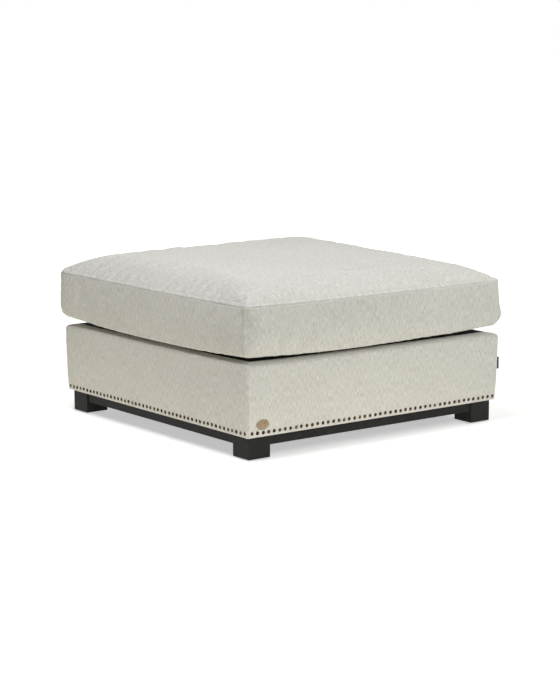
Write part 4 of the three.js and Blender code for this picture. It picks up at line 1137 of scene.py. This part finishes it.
class Finish(Nodes):
    """A material with a Principled shader, and the nodes in front of it."""

    def __init__(self, name, sockets):
        self.material = bpy.data.materials.new(name)
        self.material.use_nodes = True
        super().__init__(self.material.node_tree)
        self.shader = self.tree.nodes["Principled BSDF"]
        self.set(sockets)

    def set(self, sockets):
        for key, value in sockets.items():
            self.put(self.shader.inputs[key], value)

    def finished(self, color, height, depth, strength, rough=None):
        """The material, with its colour, its bump and, where it varies, its roughness."""
        normal = self.node("Bump", {"Height": height, "Distance": depth, "Strength": strength})
        self.set({"Base Color": color, "Normal": normal})
        if rough is not None:
            self.set({"Roughness": rough})
        return self.material


LINEN_DARK = srgb(190, 188, 180)
LINEN_LIGHT = srgb(238, 237, 232)
LINEN_FLECK = srgb(176, 166, 142)
YARN_PITCH = 1.1 * MM


def linen():
    """Plain-woven natural linen: uneven yarns in both directions, slubs, and a soft fuzz."""
    finish = Finish("linen", {"Roughness": 0.92, "Specular IOR Level": 0.25, "Sheen Weight": 0.12})
    finish.set({"Sheen Roughness": 0.45, "Sheen Tint": srgb(250, 248, 240)})
    cloth = finish.cloth()
    fine_warp = finish.grain(cloth, (900, 40, 1))
    fine_weft = finish.grain(cloth, (60, 900, 1))
    wide_warp = finish.grain(cloth, (420, 62, 1), 1.0)
    wide_weft = finish.grain(cloth, (90, 440, 1), 1.0)
    mottle = finish.noise(cloth, 14.0, 3.0)
    large = finish.noise(cloth, 3.5, 1.0)
    yarns = finish.weighted((fine_warp, 0.4), (fine_weft, 0.25), (wide_warp, 1.0), (wide_weft, 0.3))
    shade = finish.math("ADD", yarns, finish.weighted((mottle, 0.14), (large, 0.1)))
    color = finish.mix(finish.spread(shade, 0.74, 1.46), LINEN_DARK, LINEN_LIGHT)
    flecks = finish.grain(cloth, (1300, 160, 1), 1.0)
    color = finish.mix(finish.spread(flecks, 0.70, 0.80, 0.0, 0.35), color, LINEN_FLECK)
    warp = finish.math("SUBTRACT", finish.stripes(cloth, YARN_PITCH, "X"), 0.5)
    weft = finish.math("SUBTRACT", finish.stripes(cloth, YARN_PITCH, "Y"), 0.5)
    weave = finish.math("MULTIPLY", warp, weft)
    fuzz = finish.weighted((fine_warp, 0.5), (fine_weft, 0.4), (wide_warp, 0.4), (flecks, 0.3))
    height = finish.math("ADD", finish.math("MULTIPLY", weave, 0.9), fuzz)
    return finish.finished(color, height, 0.35 * MM, 0.8)


def thread():
    """Twisted linen thread, a little uneven."""
    finish = Finish("linen_thread", {"Roughness": 0.75, "Sheen Weight": 0.1})
    place = finish.place()
    twist = finish.stripes(place, 0.9 * MM, "DIAGONAL")
    shade = finish.weighted((twist, 0.5), (finish.noise(place, 400.0), 0.5))
    color = finish.mix(shade, srgb(176, 170, 152), srgb(226, 222, 210))
    return finish.finished(color, twist, 0.15 * MM, 0.6)


def lacquer():
    """Black satin lacquer over open-grained wood, rubbed a little thin along the edges."""
    finish = Finish("black_lacquer", {"Specular IOR Level": 0.08})
    place = finish.place()
    grain = finish.grain(place, (420, 420, 22), 3.0, 0.6)
    pores = finish.spread(finish.grain(place, (1500, 1500, 70), 1.0), 0.60, 0.72)
    cloudy = finish.noise(place, 30.0, 3.0)
    worn = finish.spread(finish.noise(place, 160.0, 3.0), 0.42, 0.62)
    rubbed = finish.math("MULTIPLY", finish.edges(1.6 * MM), worn)
    color = finish.mix(cloudy, srgb(32, 32, 32), srgb(48, 48, 47))
    color = finish.mix(finish.math("MULTIPLY", rubbed, 0.4), color, srgb(96, 78, 60))
    rough = finish.weighted((grain, 0.12), (cloudy, 0.12), (rubbed, 0.2))
    height = finish.weighted((grain, 0.5), (pores, -0.5), (finish.noise(place, 300.0), 0.2))
    return finish.finished(color, height, 0.12 * MM, 0.5, finish.math("ADD", rough, 0.32))


def timber():
    """Sawn frame timber: rings and fibres along the board, with saw marks across it."""
    finish = Finish("frame_timber", {"Roughness": 0.72})
    place = finish.place()
    fibres = finish.grain(place, (12, 160, 240), 4.0, 0.6)
    rings = finish.stripes(finish.scaled(place, (0.15, 1, 1)), 7 * MM, "DIAGONAL", 6.0)
    saw = finish.stripes(place, 3.1 * MM, "X", 1.2)
    shade = finish.weighted((fibres, 0.6), (rings, 0.3), (saw, 0.08))
    color = finish.ramp(shade, (0.25, 166, 128, 84), (0.5, 197, 162, 115), (0.8, 216, 186, 143))
    return finish.finished(color, finish.weighted((fibres, 0.7), (saw, 0.3)), 0.3 * MM, 0.6)


def bronze():
    """Antiqued bronze: dark brown in the hollows, brighter where rubbed, and varied from head to head."""
    finish = Finish("antique_bronze", {"Metallic": 0.9})
    place = finish.place()
    each = finish.noise(place, 45.0, 0.0)
    patina = finish.noise(place, 700.0, 3.0, 0.65)
    shade = finish.weighted((each, 0.6), (patina, 0.5))
    color = finish.ramp(shade, (0.3, 32, 27, 21), (0.55, 66, 56, 43), (0.8, 122, 106, 82))
    rough = finish.spread(patina, 0.3, 0.75, 0.28, 0.52)
    return finish.finished(color, patina, 0.08 * MM, 0.5, rough)


def brass():
    """Aged brass: brushed along, tarnished unevenly, and lighter on its edges."""
    finish = Finish("aged_brass", {"Metallic": 0.95})
    place = finish.place()
    tarnish = finish.noise(place, 260.0, 4.0, 0.65)
    brushed = finish.grain(place, (60, 60, 2600))
    shade = finish.weighted((tarnish, 0.7), (brushed, 0.2), (finish.edges(0.5 * MM), 0.2))
    color = finish.ramp(shade, (0.3, 110, 90, 68), (0.5, 160, 141, 114), (0.75, 206, 190, 162))
    height = finish.weighted((brushed, 0.6), (tarnish, 0.4))
    rough = finish.spread(tarnish, 0.3, 0.7, 0.46, 0.28)
    return finish.finished(color, height, 0.06 * MM, 0.4, rough)


# By name: darkest and lightest colour, and least roughness
METALS = {
    "zinc_steel": ((122, 124, 126), (186, 188, 190), 0.34),
    "zip_metal": ((150, 148, 142), (206, 204, 198), 0.26),
}


def plated_metal(name):
    """Bright plated steel with a fine grain, duller where it has been handled."""
    dark, light, least = METALS[name]
    finish = Finish(name, {"Metallic": 1.0})
    place = finish.place()
    cloudy = finish.noise(place, 220.0, 4.0, 0.6)
    grain = finish.grain(place, (90, 90, 2400), 1.0)
    color = finish.mix(finish.weighted((cloudy, 0.8), (grain, 0.2)), srgb(*dark), srgb(*light))
    rough = finish.spread(cloudy, 0.3, 0.7, least, least + 0.16)
    return finish.finished(color, grain, 0.04 * MM, 0.4, rough)


# By name: darkest and lightest colour, the weave's pitch, roughness and sheen
CLOTHS = {
    "black_ribbon": ((14, 14, 15), (40, 40, 42), 0.5 * MM, 0.6, 0.2),
    # The platform's near-black cloth is painted shade: it stands for the deep shadow in the narrow gap
    # between the cushion and the deck.
    "platform_cloth_painted_shade": ((10, 9, 8), (27, 25, 22), 0.9 * MM, 0.95, 0.03),
    "dust_cloth": ((20, 20, 21), (46, 46, 47), 1.6 * MM, 0.95, 0.05),
    "zip_tape_cloth": ((188, 182, 164), (222, 217, 203), 0.7 * MM, 0.85, 0.1),
    "webbing": ((60, 54, 44), (150, 134, 104), 2.4 * MM, 0.8, 0.1),
}


def woven(name, on_cloth=True):
    """A plain woven or bonded cloth of one colour, in cloth or object places."""
    dark, light, pitch, rough, sheen = CLOTHS[name]
    finish = Finish(name, {"Roughness": rough, "Sheen Weight": sheen})
    place = finish.cloth() if on_cloth else finish.place()
    weave = finish.math("MULTIPLY", finish.stripes(place, pitch, "X"), finish.stripes(place, pitch, "Y"))
    uneven = finish.noise(place, 0.12 / pitch, 3.0, 0.6)
    color = finish.mix(finish.weighted((weave, 0.4), (uneven, 0.6)), srgb(*dark), srgb(*light))
    return finish.finished(color, finish.weighted((weave, 0.6), (uneven, 0.5)), 0.3 * pitch, 0.7)


def nylon():
    """The zip's pale nylon, faintly mottled."""
    finish = Finish("zip_nylon", {"Roughness": 0.5})
    uneven = finish.noise(finish.place(), 500.0)
    color = finish.mix(uneven, srgb(190, 184, 168), srgb(218, 213, 200))
    return finish.finished(color, uneven, 0.05 * MM, 0.5)


def glide_plastic():
    """Black plastic, scuffed by the floor."""
    finish = Finish("glide_plastic", {"Specular IOR Level": 0.45})
    scuffs = finish.grain(finish.place(), (300, 90, 300), 4.0, 0.7)
    color = finish.mix(scuffs, srgb(34, 33, 32), srgb(66, 64, 61))
    return finish.finished(color, scuffs, 0.1 * MM, 0.5, finish.spread(scuffs, 0.3, 0.7, 0.35, 0.6))


def soften(node, material, width):
    """Gives a CAD node its material and small rounded edges."""
    piece = NODES[node]
    for slot in piece.material_slots:
        slot.material = material
    bevel = piece.modifiers.new("Edges", "BEVEL")
    bevel.width = width
    bevel.segments = 2
    bevel.limit_method = "ANGLE"
    bevel.angle_limit = 25 * DEGREE


# Stage


CLIP_START, CLIP_END = 0.05, 100
FLOOR_HALF = 30.0
FLOOR_COLOR = (240, 239, 232)
FLOOR_SEEN_COLOR = (236, 236, 236)
FLOOR_GLOW = 0.5  # near the object, and 1 further away
GLOW_NEAR = 0.9
GLOW_FAR = 2.2
FLOOR_POOL_GLOW = 0.56  # painted light: the glow that the floor close round the object gives off to all rays but the camera's, added to its own bounce so that it lights the object from below
# Where that painted glow on the floor fades out, its centre and its warm colour
POOL_GLOW_NEAR = 0.7
POOL_GLOW_FAR = 1.3
POOL_GLOW_CENTRE = (-0.3, 0, 0)
POOL_GLOW_COLOR = (255, 247, 229)
ROOM_COLOR = (255, 246, 230)
HORIZON_LIGHT = 0.08
ZENITH_LIGHT = 0.05
LAMP_AIM = (0, 0, 0.3)
# By name: place, size, power and colour
LAMPS = {
    "overhead": ((-1.2, -0.2, 3.3), 1.6, 72, (251, 251, 254)),
    "front": ((-0.2, -4.2, 2.7), 1.8, 64, (254, 255, 255)),
    "right": ((1.9, -1.3, 1.7), 0.9, 15, (255, 254, 250)),
    "rear": ((2.6, 3.4, 1.6), 1.8, 36, (255, 254, 250)),
}


def make_stage():
    """The photograph's camera, a white floor and background, and the lamps."""
    scene = bpy.context.scene
    scene.view_settings.view_transform = "Standard"
    camera = bpy.data.objects.new("camera", bpy.data.cameras.new("camera"))
    scene.collection.objects.link(camera)
    scene.camera = camera
    azimuth, elevation = CAMERA_AZIMUTH * DEGREE, CAMERA_ELEVATION * DEGREE
    away = Vector((math.sin(azimuth), -math.cos(azimuth), math.tan(elevation))).normalized()
    camera.location = Vector(CAMERA_TARGET) + away * CAMERA_DISTANCE
    camera.rotation_euler = (-away).to_track_quat("-Z", "Y").to_euler()
    camera.data.sensor_width = SENSOR_MM
    camera.data.lens = FOCAL_PIXELS * SENSOR_MM / LONG_SIDE_PIXELS
    camera.data.clip_start = CLIP_START
    camera.data.clip_end = CLIP_END

    corners = [(x * FLOOR_HALF, y * FLOOR_HALF, 0) for x, y in CORNERS]
    floor = new_piece("floor", corners, [(0, 1, 2, 3)], floor_material())

    world = bpy.data.worlds.new("studio")
    scene.world = world
    world.use_nodes = True
    sky = Nodes(world.node_tree)
    seen = sky.seen()
    height = sky.node("SeparateXYZ", {0: sky.node("TexCoord", {})}, output=2)
    level = sky.spread(height, 0.0, 1.0, HORIZON_LIGHT, ZENITH_LIGHT)
    background = world.node_tree.nodes["Background"].inputs
    sky.put(background["Color"], sky.mix(seen, srgb(*ROOM_COLOR), WHITE))
    sky.put(background["Strength"], sky.node("Mix", {0: seen, 2: level, 3: 1.0}))

    for name, settings in LAMPS.items():
        add_lamp(name, *settings)


def floor_material():
    """A pale floor that shows the camera white where no shadow falls on it. Close round the object it glows
    for all other rays: a painted pool of light that lights the object from below.
    """
    finish = Finish("studio_floor", {"Roughness": 0.9, "Specular IOR Level": 0.1})
    seen = finish.seen()
    place = finish.place()
    distance = finish.node("VectorMath", {0: place}, output=1, operation="LENGTH")
    glow = finish.spread(distance, GLOW_NEAR, GLOW_FAR, FLOOR_GLOW, 1.0)
    # Painted light: a glowing pool on the floor round the object, for rays other than the camera's, that
    # lights the object's lower parts.
    pool = finish.node("VectorMath", {0: place, 1: POOL_GLOW_CENTRE}, output=1, operation="DISTANCE")
    pool_glow = finish.spread(pool, POOL_GLOW_NEAR, POOL_GLOW_FAR, FLOOR_POOL_GLOW, 0.0)
    unseen = finish.math("SUBTRACT", 1.0, seen)
    finish.set({"Base Color": finish.mix(seen, srgb(*FLOOR_COLOR), srgb(*FLOOR_SEEN_COLOR))})
    finish.set({"Emission Color": finish.mix(seen, srgb(*POOL_GLOW_COLOR), WHITE)})
    finish.set({"Emission Strength": finish.weighted((seen, glow), (unseen, pool_glow))})
    return finish.material


def add_lamp(name, place, size, power, color):
    lamp = bpy.data.lights.new(name, "AREA")
    lamp.size = size
    lamp.energy = power
    lamp.color = srgb(*color)[:3]
    holder = bpy.data.objects.new(name, lamp)
    bpy.context.scene.collection.objects.link(holder)
    holder.location = place
    aim = Vector(LAMP_AIM) - Vector(place)
    holder.rotation_euler = aim.to_track_quat("-Z", "Y").to_euler()


def main():
    make_stage()
    cloth = linen()
    sewing = thread()
    line, normals = make_cushion(cloth)
    thread_stitches("cushion_topstitching", line, normals, sewing, "cushion")
    for name in SIDES:
        border, facing = make_side_panel(name, cloth)
        title = "deck_border_stitching_" + name
        thread_stitches(title, border, facing, sewing, "base", closed=False, inset=DECK_BORDER)
    nail_metal = bronze()
    for name in SIDES:
        make_nails(name, nail_metal)
    make_plaque(brass())
    make_label(woven("black_ribbon"))
    # The deck's near-black cloth is painted shade for the gap under the cushion.
    make_deck(woven("platform_cloth_painted_shade"))
    zinc = plated_metal("zinc_steel")
    make_dust_cover(woven("dust_cloth"), zinc)
    make_zip(woven("zip_tape_cloth", on_cloth=False), nylon())

    black = lacquer()
    wood = timber()
    zip_metal = plated_metal("zip_metal")
    finishes = {
        "leg_bolt": (zinc, 0.4 * MM),
        "leg": (black, 1.4 * MM),
        "plinth_rail": (black, 1.2 * MM),
        "glide": (glide_plastic(), 1.0 * MM),
        "frame_board": (wood, 0.8 * MM),
        "corner_block": (wood, 1.0 * MM),
        "centre_stretcher": (wood, 1.0 * MM),
        "strap": (woven("webbing", on_cloth=False), 0.3 * MM),
        "zip_slider": (zip_metal, 0.25 * MM),
        "zip_pull": (zip_metal, 0.25 * MM),
    }
    for node in NODES:
        for start, (material, width) in finishes.items():
            if node.startswith(start):
                soften(node, material, width)
                break


main()
